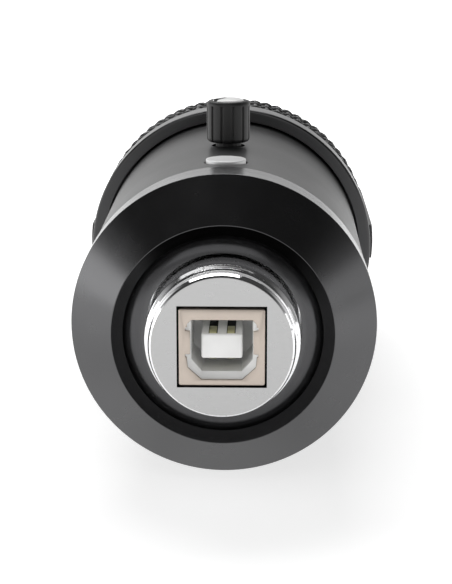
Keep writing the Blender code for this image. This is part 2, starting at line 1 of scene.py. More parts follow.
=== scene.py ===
"""Looks of a USB studio condenser microphone that lies on its side.

The body lies along Y with its connector end towards -Y and its gain knob up.
Lengths in the classes are millimetres: "station" runs along the body from the
front edge of the base ring's side wall towards the grille, "across" runs along
X, and "up" is the height over the body's axis.
"""
import logging
import math
from bisect import bisect_right
from dataclasses import dataclass, field
from enum import Enum
from functools import cached_property, lru_cache
from typing import Callable, Iterable, Sequence, Union

import bmesh
import bpy
from mathutils import Matrix, Vector


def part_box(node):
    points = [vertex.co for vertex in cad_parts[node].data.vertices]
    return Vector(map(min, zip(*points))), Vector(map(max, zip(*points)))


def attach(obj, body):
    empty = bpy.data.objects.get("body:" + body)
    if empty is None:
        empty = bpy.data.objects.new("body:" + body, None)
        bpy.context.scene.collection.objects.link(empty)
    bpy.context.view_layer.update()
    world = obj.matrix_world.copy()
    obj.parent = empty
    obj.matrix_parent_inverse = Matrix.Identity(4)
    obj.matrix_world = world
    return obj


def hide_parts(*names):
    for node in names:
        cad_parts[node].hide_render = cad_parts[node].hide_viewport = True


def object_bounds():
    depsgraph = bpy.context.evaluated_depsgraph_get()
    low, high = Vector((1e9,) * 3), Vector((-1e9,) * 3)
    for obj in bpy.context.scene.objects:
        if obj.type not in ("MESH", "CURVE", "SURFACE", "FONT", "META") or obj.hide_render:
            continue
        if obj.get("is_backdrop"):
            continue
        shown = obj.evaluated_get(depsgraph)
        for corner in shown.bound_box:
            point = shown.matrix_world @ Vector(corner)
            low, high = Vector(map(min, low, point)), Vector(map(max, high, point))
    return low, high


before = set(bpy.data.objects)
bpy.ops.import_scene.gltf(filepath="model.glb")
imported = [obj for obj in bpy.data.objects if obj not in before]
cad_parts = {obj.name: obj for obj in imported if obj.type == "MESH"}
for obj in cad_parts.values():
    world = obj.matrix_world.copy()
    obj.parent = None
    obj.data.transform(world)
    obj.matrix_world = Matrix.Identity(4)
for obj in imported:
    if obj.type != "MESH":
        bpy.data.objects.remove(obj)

MM = 0.001
WELD = 1e-6
SEGMENTS = 192            # sides of the large turned pieces
FINE_SEGMENTS = 96        # sides of the small turned pieces
SMOOTH_ANGLE = 35.0       # edges sharper than this many degrees stay sharp

Outline = list[tuple[float, float]]
Color = tuple[float, float, float]
log = logging.getLogger("microphone")


class Body(Enum):
    """The bodies that pieces ride on."""

    MICROPHONE = "microphone"
    KNOB = "knob"
    BUTTON = "button"


# ------------------------------------------------------------------ places
@dataclass(frozen=True)
class BodyAxis:
    """Turns stations, offsets and heights in millimetres into places in metres."""

    tube_station: float = 6.7

    @cached_property
    def height(self) -> float:
        """Height of the body's axis over the ground, in metres."""
        low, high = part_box("collar_ring")
        return (low.z + high.z) / 2

    @cached_property
    def zero(self) -> float:
        """Y of station 0, in metres."""
        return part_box("body_tube")[0].y - self.tube_station * MM

    def place(self, station: float, across: float = 0.0, up: float = 0.0) -> Vector:
        """Gives a place in metres.

        Args:
            station: Distance along the body.
            across: Offset along X.
            up: Height over the body's axis.

        Returns:
            The place in the frame, in metres.
        """
        return Vector((across * MM, self.zero + station * MM, self.height + up * MM))


AXIS = BodyAxis()


@dataclass(frozen=True)
class Spindle:
    """A line that pieces are turned about."""

    foot: Vector
    along: Vector
    outward: Vector

    def turn(self, outline: Outline, segments: int = SEGMENTS) -> bmesh.types.BMesh:
        """Spins an outline a full turn.

        Args:
            outline: (along, radius) points in millimetres. One that starts on
                the spindle makes a solid, any other is closed into a ring.
            segments: Number of steps round the turn.

        Returns:
            The turned mesh.
        """
        bm = bmesh.new()
        verts = [bm.verts.new(self.foot + (self.along * along + self.outward * radius) * MM)
                 for along, radius in outline]
        following = verts[1:] if outline[0][1] == 0.0 else verts[1:] + verts[:1]
        edges = [bm.edges.new(pair) for pair in zip(verts, following)]
        bmesh.ops.spin(bm, geom=verts + edges, cent=self.foot, axis=self.along,
                       angle=math.tau, steps=segments, use_merge=True)
        return bm


def body_spindle() -> Spindle:
    """The body's own axis, with stations as its lengths."""
    return Spindle(AXIS.place(0), Vector((0, 1, 0)), Vector((0, 0, 1)))


def upright_spindle(station: float) -> Spindle:
    """A vertical spindle at a station, with heights over the axis as its lengths."""
    return Spindle(AXIS.place(station), Vector((0, 0, 1)), Vector((1, 0, 0)))


def rounded(corners: Sequence[tuple[float, float, float]], steps: int = 3) -> Outline:
    """Rounds the corners of an outline.

    Args:
        corners: (along, radius, rounding) for each corner.
        steps: Number of steps in each rounded corner.

    Returns:
        The outline's points, with a close support point on both sides of each
        rounded corner so that the flats stay flat in the shading.
    """
    support = 0.02
    points: Outline = []
    for index, (along, radius, rounding) in enumerate(corners):
        here = Vector((along, radius))
        if rounding == 0.0:
            points.append((along, radius))
            continue
        before = (Vector(corners[index - 1][:2]) - here).normalized()
        after = (Vector(corners[(index + 1) % len(corners)][:2]) - here).normalized()
        half = before.angle(after) / 2
        reach = rounding / math.tan(half)
        centre = here + (before + after).normalized() * (rounding / math.sin(half))
        start = here + before * reach - centre
        sweep = start.angle_signed(here + after * reach - centre)
        points.append(tuple(here + before * (reach + support)))
        for step in range(steps + 1):
            turned = start.copy()
            turned.rotate(Matrix.Rotation(-sweep * step / steps, 2))
            points.append(tuple(centre + turned))
        points.append(tuple(here + after * (reach + support)))
    return points


# ------------------------------------------------------------------ solids
def block(size: Sequence[float], centre: Vector, rounding: float = 0.0, steps: int = 2) -> bmesh.types.BMesh:
    """Makes a rectangular solid.

    Args:
        size: Size across, along and up, in millimetres.
        centre: Its middle, in metres.
        rounding: Width of the rounded edges, in millimetres.
        steps: Number of steps in each rounded edge.

    Returns:
        The solid.
    """
    bm = bmesh.new()
    bmesh.ops.create_cube(bm, size=1.0)
    bmesh.ops.scale(bm, vec=Vector(size) * MM, verts=bm.verts)
    if rounding:
        bmesh.ops.bevel(bm, geom=bm.edges[:], offset=rounding * MM, segments=steps, profile=0.5,
                        affect="EDGES", clamp_overlap=True, material=-1)
    bmesh.ops.translate(bm, verts=bm.verts, vec=centre)
    return bm


def loft(sections: Sequence[Sequence[Vector]]) -> bmesh.types.BMesh:
    """Joins outlines with the same number of corners into one closed solid.

    Args:
        sections: The outlines' corners, in metres, from one end to the other.

    Returns:
        The solid, with its faces pointing outwards.
    """
    bm = bmesh.new()
    loops = []
    for section in sections:
        verts = [bm.verts.new(corner) for corner in section]
        loops.append([bm.edges.new(pair) for pair in zip(verts, verts[1:] + verts[:1])])
    for first, second in zip(loops, loops[1:]):
        bmesh.ops.bridge_loops(bm, edges=first + second)
    for end in (loops[0], loops[-1]):
        bmesh.ops.edgeloop_fill(bm, edges=end)
    bmesh.ops.recalc_face_normals(bm, faces=bm.faces)
    return bm


def rod(start: Vector, end: Vector, radius: float, end_radius: float | None = None,
        segments: int = 48) -> bmesh.types.BMesh:
    """Makes a round or tapered bar between two places.

    Args:
        start: Middle of the first end, in metres.
        end: Middle of the second end, in metres.
        radius: Radius of the first end, in millimetres.
        end_radius: Radius of the second end, or None for the same.
        segments: Number of sides.

    Returns:
        The bar.
    """
    bm = bmesh.new()
    span = end - start
    far = radius if end_radius is None else end_radius
    bmesh.ops.create_cone(bm, cap_ends=True, segments=segments, radius1=radius * MM,
                          radius2=far * MM, depth=span.length)
    turn = span.to_track_quat("Z", "Y").to_matrix().to_4x4()
    bmesh.ops.transform(bm, matrix=Matrix.Translation((start + end) / 2) @ turn, verts=bm.verts)
    return bm


def helper_object(bm: bmesh.types.BMesh) -> bpy.types.Object:
    """Puts a bmesh in a throwaway object."""
    mesh = bpy.data.meshes.new("helper")
    bm.to_mesh(mesh)
    bm.free()
    holder = bpy.data.objects.new("helper", mesh)
    bpy.context.scene.collection.objects.link(holder)
    return holder


def evaluated_bmesh(holder: bpy.types.Object) -> bmesh.types.BMesh:
    """Reads an object as its modifiers leave it."""
    depsgraph = bpy.context.evaluated_depsgraph_get()
    mesh = bpy.data.meshes.new_from_object(holder.evaluated_get(depsgraph))
    bm = bmesh.new()
    bm.from_mesh(mesh)
    bpy.data.meshes.remove(mesh)
    return bm


def carve(solid: bmesh.types.BMesh, tools: Iterable[bmesh.types.BMesh],
          operation: str = "DIFFERENCE") -> bmesh.types.BMesh:
    """Cuts tools out of a solid, or adds them to it.

    Args:
        solid: The solid to work on; it is used up.
        tools: The solids to cut or add; they are used up.
        operation: The Boolean modifier's operation.

    Returns:
        The worked solid.
    """
    holder = helper_object(solid)
    cutters = [helper_object(tool) for tool in tools]
    for cutter in cutters:
        modifier = holder.modifiers.new("carve", "BOOLEAN")
        modifier.operation = operation
        modifier.solver = "EXACT"
        modifier.object = cutter
    bpy.context.view_layer.update()
    result = evaluated_bmesh(holder)
    for item in (holder, *cutters):
        bpy.data.objects.remove(item, do_unlink=True)
    return result


def soften(bm: bmesh.types.BMesh, width: float, choose: Callable[[bmesh.types.BMEdge], bool] | None = None,
           steps: int = 2) -> None:
    """Rounds a solid's hard edges.

    Args:
        bm: The solid.
        width: Width of the rounding in millimetres.
        choose: Picks among the hard edges, or None for all of them.
        steps: Number of steps in the rounding.
    """
    bmesh.ops.dissolve_limit(bm, angle_limit=math.radians(1), verts=bm.verts, edges=bm.edges)
    hard = [edge for edge in bm.edges
            if len(edge.link_faces) == 2 and edge.calc_face_angle(0.0) > math.radians(SMOOTH_ANGLE)
            and (choose is None or choose(edge))]
    bmesh.ops.bevel(bm, geom=hard, offset=width * MM, segments=steps, profile=0.5,
                    affect="EDGES", clamp_overlap=True, material=-1)


# ------------------------------------------------------------------ shader graph
Input = Union["Value", bpy.types.NodeSocket, float, tuple]


class Value:
    """A number on a shader socket that takes part in Python arithmetic."""

    def __init__(self, graph: "Graph", socket: bpy.types.NodeSocket) -> None:
        """Wraps a socket of a graph."""
        self.graph = graph
        self.socket = socket

    def _math(self, operation: str, first: Input, second: Input = 0.0) -> "Value":
        """Adds one Math node."""
        node = self.graph.node("ShaderNodeMath", {"operation": operation}, {0: first, 1: second})
        return Value(self.graph, node.outputs[0])

    def __add__(self, other: Input) -> "Value":
        """Adds."""
        return self._math("ADD", self, other)

    __radd__ = __add__

    def __sub__(self, other: Input) -> "Value":
        """Subtracts a number."""
        return self._math("SUBTRACT", self, other)

    def __rsub__(self, other: Input) -> "Value":
        """Is subtracted from a number."""
        return self._math("SUBTRACT", other, self)

    def __mul__(self, other: Input) -> "Value":
        """Multiplies."""
        return self._math("MULTIPLY", self, other)

    __rmul__ = __mul__

    def root(self) -> "Value":
        """Square root."""
        return self._math("SQRT", self)

    def sine(self) -> "Value":
        """Sine."""
        return self._math("SINE", self)

    def angle_from(self, other: Input) -> "Value":
        """Angle of the direction whose sine is this value and cosine the other."""
        return self._math("ARCTAN2", self, other)

    def below(self, limit: float) -> "Value":
        """1 where this value is less than a limit, and 0 elsewhere."""
        return self._math("LESS_THAN", self, limit)

    def smooth(self, low: float, high: float, bottom: float = 0.0, top: float = 1.0) -> "Value":
        """Goes smoothly from bottom to top as this value goes from low to high."""
        node = self.graph.node("ShaderNodeMapRange", {"interpolation_type": "SMOOTHSTEP"},
                               {0: self, 1: low, 2: high, 3: bottom, 4: top})
        return Value(self.graph, node.outputs[0])


class Graph:
    """The node tree of one material or of the world."""

    def __init__(self, tree: bpy.types.NodeTree) -> None:
        """Empties the tree."""
        self.tree = tree
        tree.nodes.clear()

    def node(self, kind: str, settings: dict | None = None, inputs: dict | None = None) -> bpy.types.Node:
        """Adds a node.

        Args:
            kind: The node's type.
            settings: Its settings, set first; "stops" lists a ramp's (place, colour).
            inputs: Values or links by socket name or number.

        Returns:
            The node.
        """
        node = self.tree.nodes.new(kind)
        for key, setting in (settings or {}).items():
            if key == "stops":
                elements = node.color_ramp.elements
                while len(elements) < len(setting):
                    elements.new(0.5)
                for element, (place, color) in zip(elements, setting):
                    element.position = place
                    element.color = (*color, 1.0)
            else:
                setattr(node, key, setting)
        for key, item in (inputs or {}).items():
            if isinstance(item, Value):
                self.tree.links.new(item.socket, node.inputs[key])
            elif isinstance(item, bpy.types.NodeSocket):
                self.tree.links.new(item, node.inputs[key])
            else:
                node.inputs[key].default_value = item
        return node

    def position(self) -> bpy.types.NodeSocket:
        """Place on the surface, in metres of the frame."""
        return self.node("ShaderNodeTexCoord").outputs["Object"]

    def stretched(self, scale: Sequence[float]) -> bpy.types.NodeSocket:
        """The place with each axis scaled on its own."""
        mapping = self.node("ShaderNodeMapping", None, {"Vector": self.position(), "Scale": tuple(scale)})
        return mapping.outputs[0]

    def parts(self, vector: bpy.types.NodeSocket) -> tuple["Value", "Value", "Value"]:
        """The three numbers of a vector."""
        node = self.node("ShaderNodeSeparateXYZ", None, {0: vector})
        return tuple(Value(self, output) for output in node.outputs)

    def noise(self, vector: bpy.types.NodeSocket, scale: float, detail: float = 2.0,
              roughness: float = 0.5) -> "Value":
        """Cloudy noise from 0 to 1 over a place."""
        node = self.node("ShaderNodeTexNoise", None, {"Vector": vector, "Scale": scale, "Detail": detail,
                                                      "Roughness": roughness})
        return Value(self, node.outputs[0])

    def line_noise(self, along: "Value", scale: float, detail: float = 3.0) -> "Value":
        """Noise from 0 to 1 that changes along one number only."""
        node = self.node("ShaderNodeTexNoise", {"noise_dimensions": "1D"},
                         {"W": along, "Scale": scale, "Detail": detail, "Roughness": 0.6})
        return Value(self, node.outputs[0])

    def cells(self, vector: bpy.types.NodeSocket, scale: float) -> "Value":
        """Distance from the nearest of many scattered points."""
        node = self.node("ShaderNodeTexVoronoi", None, {"Vector": vector, "Scale": scale})
        return Value(self, node.outputs["Distance"])

    def mix(self, share: Input, first: Input, second: Input) -> bpy.types.NodeSocket:
        """Mixes two colours by a share."""
        colors = [(*item, 1.0) if isinstance(item, tuple) else item for item in (first, second)]
        node = self.node("ShaderNodeMix", {"data_type": "RGBA"}, {0: share, 6: colors[0], 7: colors[1]})
        return node.outputs[2]

    def bump(self, height: "Value", distance: float, strength: float = 1.0,
             below: bpy.types.NodeSocket | None = None) -> bpy.types.NodeSocket:
        """Turns a height from 0 to 1 into a normal; distance is its depth in millimetres."""
        inputs = {"Height": height, "Distance": distance * MM, "Strength": strength}
        if below is not None:
            inputs["Normal"] = below
        return self.node("ShaderNodeBump", None, inputs).outputs[0]


# ------------------------------------------------------------------ finishes
@dataclass(frozen=True)
class Finish:
    """A procedural surface; its subclasses paint the pattern."""

    name: str
    slot: str
    color: Color
    roughness: float
    metallic: float = 0.0
    specular: float = 0.5

    def material(self) -> bpy.types.Material:
        """The finish's material, made once."""
        known = bpy.data.materials.get(self.name)
        if known:
            return known
        material = bpy.data.materials.new(self.name)
        material.use_nodes = True
        material.diffuse_color = (*self.color, 1.0)
        graph = Graph(material.node_tree)
        shader = graph.node("ShaderNodeBsdfPrincipled", None, {
            "Base Color": (*self.color, 1.0), "Roughness": self.roughness,
            "Metallic": self.metallic, "Specular IOR Level": self.specular})
        for name, item in self.paint(graph).items():
            graph.tree.links.new(item.socket if isinstance(item, Value) else item, shader.inputs[name])
        graph.node("ShaderNodeOutputMaterial", None, {"Surface": shader.outputs[0]})
        return material

    def paint(self, graph: Graph) -> dict:
        """Makes the links of the shader's sockets, by socket name."""
        raise NotImplementedError

    def shade(self, factor: float) -> Color:
        """The colour made darker or lighter."""
        return tuple(channel * factor for channel in self.color)


class Lathe(Enum):
    """The axis that turning marks run round."""

    BODY = "body"
    BUTTON = "button"


LATHE_STATIONS = {Lathe.BUTTON: 13.0}


@dataclass(frozen=True)
class TurnedFinish(Finish):
    """Metal off the lathe, with fine rings round its axis and faint radial sheen."""

    lathe: Lathe = Lathe.BODY
    groove: float = 0.10
    depth: float = 0.004
    mottle: float = 0.10
    tint: float = 0.25
    dark_zone: tuple = ()     # radii between which the metal is darker

    def paint(self, graph: Graph) -> dict:
        """Rings from the distance to the axis, and mottling from soft noise."""
        x, y, z = graph.parts(graph.position())
        if self.lathe is Lathe.BODY:
            side, rise, along = x, z - AXIS.height, y
        else:
            side, rise, along = x, y - AXIS.place(LATHE_STATIONS[self.lathe]).y, z
        radius = (side * side + rise * rise).root()
        rings = graph.line_noise(radius + along, 1.0 / (self.groove * MM), 2.0)
        bands = graph.line_noise(radius - along, 1.0 / (1.1 * MM), 2.0)
        rays = graph.line_noise(side.angle_from(rise) * 4.0, 1.0, 2.0)
        cloud = graph.noise(graph.position(), 180.0, 3.0)
        rough = self.roughness + (cloud + bands - 1.0) * self.mottle + (rays - 0.5) * 0.05
        color = graph.mix((bands + cloud) * self.tint, self.color, self.shade(1.6))
        if self.dark_zone:
            inner, outer = self.dark_zone
            outside = radius.smooth((outer - 0.1) * MM, outer * MM)
            zone = radius.smooth(inner * MM, (inner + 0.15) * MM) * (1.0 - outside)
            color = graph.mix(zone, color, self.shade(0.2))
        return {"Base Color": color, "Roughness": rough, "Normal": graph.bump(rings, self.depth)}


@dataclass(frozen=True)
class PlatedFinish(Finish):
    """Bright plating whose end face is turned and satin, and whose sides are polished."""

    face_station: float = -12.3
    face_roughness: float = 0.30
    face_color: Color = (0.405, 0.405, 0.405)

    def paint(self, graph: Graph) -> dict:
        """Splits the end face from the sides by its station."""
        x, y, z = graph.parts(graph.position())
        face = y.below(AXIS.place(self.face_station + 0.02).y)
        rise = z - AXIS.height
        radius = (x * x + rise * rise).root()
        rings = graph.line_noise(radius, 1.0 / (0.12 * MM), 3.0)
        smear = graph.noise(graph.stretched((1.0, 1.0, 2.4)), 420.0, 4.0, 0.65)
        specks = graph.noise(graph.position(), 2600.0, 2.0).smooth(0.60, 0.72)
        rough = face * (self.face_roughness + (smear - 0.5) * 0.22) + (1.0 - face) * (
            self.roughness + specks * 0.25 + (smear - 0.5) * 0.06)
        satin = graph.mix(smear, self.face_color, tuple(channel * 1.18 for channel in self.face_color))
        polished = graph.mix(specks * 0.5, self.color, self.shade(0.35))
        rough_normal = graph.bump(rings, 0.0022)
        fine_normal = graph.bump(smear * face, 0.006, 1.0, rough_normal)
        return {"Base Color": graph.mix(face, polished, satin), "Roughness": rough, "Normal": fine_normal}


@dataclass(frozen=True)
class PaintFinish(Finish):
    """Sprayed satin paint with a fine orange peel."""

    peel: float = 0.35
    depth: float = 0.003
    mottle: float = 0.08

    def paint(self, graph: Graph) -> dict:
        """Orange peel and slow changes of gloss."""
        place = graph.position()
        peel = graph.noise(place, 1.0 / (self.peel * MM), 2.0)
        dust = graph.noise(place, 9000.0, 1.0)
        slow = graph.noise(place, 90.0, 3.0)
        rough = self.roughness + (slow - 0.5) * self.mottle + (dust - 0.5) * 0.04
        color = graph.mix(slow, self.shade(0.85), self.shade(1.15))
        return {"Base Color": color, "Roughness": rough, "Normal": graph.bump(peel + dust * 0.4, self.depth)}


@dataclass(frozen=True)
class MouldedFinish(Finish):
    """Moulded plastic with a fine spark-eroded texture."""

    grain: float = 0.12
    depth: float = 0.004
    drift: float = 0.08

    def paint(self, graph: Graph) -> dict:
        """Grain from small cells, and a slow drift of colour."""
        place = graph.position()
        grain = graph.cells(place, 1.0 / (self.grain * MM))
        slow = graph.noise(place, 240.0, 2.0)
        color = graph.mix(slow, self.shade(1.0 - self.drift), self.shade(1.0 + self.drift))
        rough = self.roughness + (grain - 0.4) * 0.10 + (slow - 0.5) * 0.06
        return {"Base Color": color, "Roughness": rough, "Normal": graph.bump(grain, self.depth)}


@dataclass(frozen=True)
class RolledFinish(Finish):
    """Rolled or cast sheet with fine lines along one direction and light staining."""

    lines: tuple[float, float, float] = (1.0, 1.0, 14.0)
    depth: float = 0.003
    stain: float = 0.18

    def paint(self, graph: Graph) -> dict:
        """Lines from stretched noise, and stains from soft noise."""
        lines = graph.noise(graph.stretched(self.lines), 900.0, 3.0)
        stain = graph.noise(graph.position(), 300.0, 4.0, 0.6)
        color = graph.mix(stain, self.shade(1.0 - self.stain), self.shade(1.0 + self.stain * 0.5))
        rough = self.roughness + (lines - 0.5) * 0.16 + (stain - 0.5) * 0.12
        return {"Base Color": color, "Roughness": rough, "Normal": graph.bump(lines, self.depth)}


@dataclass(frozen=True)
class WovenWireFinish(Finish):
    """Painted wire that is rubbed brighter in small patches."""

    bright: Color = (0.10, 0.10, 0.10)

    def paint(self, graph: Graph) -> dict:
        """Paint that is worn through in small patches."""
        place = graph.position()
        rub = graph.noise(place, 700.0, 3.0, 0.6).smooth(0.52, 0.72)
        pits = graph.noise(place, 5200.0, 2.0)
        color = graph.mix(rub, self.color, self.bright)
        rough = self.roughness + (pits - 0.5) * 0.14 - rub * 0.06
        return {"Base Color": color, "Roughness": rough, "Normal": graph.bump(pits, 0.006)}


@dataclass(frozen=True)
class FineMeshFinish(Finish):
    """Very fine dark gauze, seen as a grid of small pits."""

    pitch: float = 0.45

    def paint(self, graph: Graph) -> dict:
        """Pits from two crossed waves; the colour is painted shade, darker in the pits and lighter on the
        raised threads.
        """
        x, y, z = graph.parts(graph.position())
        turns = math.tau / (self.pitch * MM)
        around = x.angle_from(z - AXIS.height) * (22.0 * MM)
        height = (y * turns).sine() * (around * turns).sine() * 0.5 + 0.5
        # Painted shade: the colour darkens into the pits and lightens on the raised threads.
        color = graph.mix(height, self.shade(0.4), self.shade(1.4))
        return {"Base Color": color, "Roughness": self.roughness + height * 0.1,
                "Normal": graph.bump(height, 0.05)}


@dataclass(frozen=True)
class BoardFinish(Finish):
    """Solder mask over copper tracks."""

    track: Color = (0.05, 0.24, 0.10)

    def paint(self, graph: Graph) -> dict:
        """Tracks from the edges of stretched cells."""
        place = graph.stretched((1.0, 0.35, 1.0))
        tracks = graph.cells(place, 900.0).smooth(0.42, 0.50)
        weave = graph.noise(graph.position(), 3000.0, 2.0)
        color = graph.mix(tracks, self.color, self.track)
        rough = self.roughness + (weave - 0.5) * 0.2 - tracks * 0.1
        return {"Base Color": color, "Roughness": rough, "Normal": graph.bump(tracks + weave * 0.3, 0.02)}


ANODISED = TurnedFinish("turned_anodising", "anodised_black", (0.082, 0.082, 0.084), 0.24, 1.0,
                        depth=0.0018, dark_zone=(14.15, 15.9))
COLLAR_BLACK = TurnedFinish("collar_anodising", "anodised_black", (0.060, 0.060, 0.061), 0.30, 1.0,
                            groove=0.14, depth=0.0018)
SATIN = PaintFinish("satin_tube_paint", "satin_black", (0.020, 0.020, 0.0205), 0.38, 0.0, 0.38)
CHROME = PlatedFinish("barrel_chrome", "chrome", (0.86, 0.86, 0.87), 0.07, 1.0)
NICKEL = RolledFinish("socket_nickel", "nickel", (0.51, 0.445, 0.39), 0.33, 1.0)
TIN = RolledFinish("can_tin", "nickel", (0.62, 0.58, 0.55), 0.35, 1.0)
WHITE = MouldedFinish("socket_white_plastic", "white_plastic", (0.90, 0.90, 0.89), 0.42)
CAP_WHITE = MouldedFinish("knob_cap_white", "white_plastic", (0.90, 0.90, 0.89), 0.35, drift=0.03)
KNOB_BLACK = MouldedFinish("knob_black_plastic", "black_plastic", (0.012, 0.012, 0.012), 0.42, 0.0, 0.35)
PLAIN_BLACK = MouldedFinish("black_moulding", "black_plastic", (0.012, 0.012, 0.012), 0.5)
# Near black and dull: painted shade for the strips deep in the contact channels.
PAINTED_SLOT_SHADE = MouldedFinish("contact_slot_painted_shade", "black_plastic", (0.004, 0.004, 0.004), 0.7, 0.0, 0.2)
GOLD = RolledFinish("contact_gold", "gold", (0.60, 0.58, 0.34), 0.38, 1.0)
GREEN = BoardFinish("board_solder_mask", "board_green", (0.012, 0.10, 0.04), 0.4)
ZINC = RolledFinish("cast_zinc", "zinc", (0.40, 0.40, 0.41), 0.48, 1.0, lines=(1.0, 1.0, 1.0))
STEEL = RolledFinish("screw_steel", "steel", (0.50, 0.50, 0.51), 0.32, 1.0)
WIRE = WovenWireFinish("grille_wire", "wire_black", (0.022, 0.022, 0.023), 0.34, 0.0, 0.6)
BAND_BLACK = PaintFinish("grille_band_paint", "anodised_black", (0.016, 0.016, 0.017), 0.34, 0.0, 0.6)
GAUZE = FineMeshFinish("grille_gauze", "wire_black", (0.012, 0.012, 0.012), 0.6)
SPUN = TurnedFinish("spun_button", "spun_metal", (0.74, 0.74, 0.74), 0.40, 0.55, lathe=Lathe.BUTTON,
                    groove=0.14, depth=0.012, mottle=0.12, tint=0.0)
# Steel painted near black as painted shade, for the shadow in the gap under the knob.
PAINTED_SHADE_STEEL = RolledFinish("shaft_painted_shade", "steel", (0.012, 0.012, 0.012), 0.5, 0.3)
RED = MouldedFinish("lead_red", "red_pvc", (0.42, 0.02, 0.015), 0.45)


def add_piece(name: str, bm: bmesh.types.BMesh, finish: Finish, body: Body = Body.MICROPHONE,
              stands_for: Sequence[str] = (), smooth_angle: float = SMOOTH_ANGLE) -> bpy.types.Object:
    """Makes a finished piece and ties it to the frame.

    Args:
        name: The piece's name.
        bm: Its mesh, which is used up.
        finish: Its finish.
        body: The body it rides on.
        stands_for: The frame's nodes that it replaces.
        smooth_angle: Edges sharper than this many degrees stay sharp.

    Returns:
        The piece.
    """
    bmesh.ops.remove_doubles(bm, verts=bm.verts, dist=WELD)
    bmesh.ops.recalc_face_normals(bm, faces=bm.faces)
    mesh = bpy.data.meshes.new(name)
    bm.to_mesh(mesh)
    bm.free()
    mesh.materials.append(finish.material())
    mesh.shade_smooth()
    mesh.set_sharp_from_angle(angle=math.radians(smooth_angle))
    piece = bpy.data.objects.new(name, mesh)
    bpy.context.scene.collection.objects.link(piece)
    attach(piece, body.value)
    if stands_for:
        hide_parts(*stands_for)
    log.info("%s: %d faces, rides on %s", name, len(mesh.polygons), body.value)
    return piece


# ------------------------------------------------------------------ connector end
@dataclass
class BaseRing:
    """Conical end ring with a front lip and a shallow dish round the connector."""

    radius: float = 22.15
    band: float = 6.4
    lip_station: float = -6.3
    lip_radius: float = 15.9
    lip_inner: tuple[float, float] = (-5.3, 14.25)
    dish_foot: tuple[float, float] = (-2.9, 11.4)
    floor_back: float = 4.7
    bore: float = 11.25
    spigot: tuple[float, float] = (9.0, 20.6)
    thread: float = 16.6
    dish_steps: int = 12

    def dish(self) -> list[tuple[float, float, float]]:
        """Quarter ellipse from the lip's inner edge down to the dish's bottom at the barrel."""
        (mouth, wide), (floor, narrow) = self.lip_inner, self.dish_foot
        curve = []
        for step in range(1, self.dish_steps + 1):
            turn = step / self.dish_steps * math.pi / 2
            curve.append((mouth + (floor - mouth) * math.sin(turn),
                          narrow + (wide - narrow) * math.cos(turn), 0.0))
        return curve

    def build(self) -> None:
        """Turns the ring."""
        corners = [
            (0.0, self.radius, 0.14), (self.band, self.radius, 0.12), (self.band, self.spigot[1], 0.0),
            (self.spigot[0], self.spigot[1], 0.0), (self.spigot[0], self.thread, 0.0),
            (self.floor_back, self.thread, 0.0), (self.floor_back, self.bore, 0.0),
            (self.dish_foot[0], self.bore, 0.0), *reversed(self.dish()),
            (*self.lip_inner, 0.12), (self.lip_station, self.lip_radius, 0.10),
        ]
        ring = body_spindle().turn(rounded(corners))
        add_piece("turned_base_ring", ring, ANODISED, stands_for=["base_ring"])


@dataclass
class ConnectorBarrel:
    """Plated barrel with stepped bands, a windowed end wall and a clamping flange."""

    face: float = -12.3
    face_radius: float = 9.83
    radius: float = 10.95
    bore: float = 8.9
    wall: float = 1.3
    floor_back: float = 4.7
    flange_radius: float = 14.2
    hole: float = 4.0
    window: tuple[float, float] = (12.5, 11.6)

    def open_window(self, bm: bmesh.types.BMesh) -> None:
        """Moves the rim of the end wall's round hole out to the square window."""
        half_width, half_height = self.window[0] / 2 * MM, self.window[1] / 2 * MM
        corner_reach = 0.15 * MM
        for vert in bm.verts:
            side, rise = vert.co.x, vert.co.z - AXIS.height
            distance = math.hypot(side, rise)
            if abs(distance - self.hole * MM) > 0.01 * MM:
                continue
            reach = min(half_width / max(abs(side), 1e-12), half_height / max(abs(rise), 1e-12))
            side, rise = side * reach, rise * reach
            if half_width - abs(side) < corner_reach and half_height - abs(rise) < corner_reach:
                side, rise = math.copysign(half_width, side), math.copysign(half_height, rise)
            vert.co.x, vert.co.z = side, AXIS.height + rise

    def build(self) -> None:
        """Turns the barrel and opens its window."""
        flange_front, flange_back = self.floor_back + 0.3, self.floor_back + 2.0
        face = self.face
        corners = [
            (face, self.hole, 0.0), (face, self.face_radius, 0.10), (face + 0.25, 10.1, 0.05),
            (face + 0.75, 10.3, 0.06), (face + 1.3, 10.3, 0.05), (face + 1.36, 10.05, 0.03),
            (face + 1.62, 10.05, 0.03), (face + 1.7, 10.5, 0.06), (face + 3.1, 10.5, 0.08),
            (face + 3.4, self.radius, 0.10), (flange_front, self.radius, 0.0),
            (flange_front, self.flange_radius, 0.0), (flange_back, self.flange_radius, 0.0),
            (flange_back, self.bore, 0.0), (face + self.wall, self.bore, 0.0),
            (face + self.wall, self.hole, 0.0),
        ]
        bm = body_spindle().turn(rounded(corners))
        self.open_window(bm)
        add_piece("plated_barrel", bm, CHROME, stands_for=["connector_barrel"])


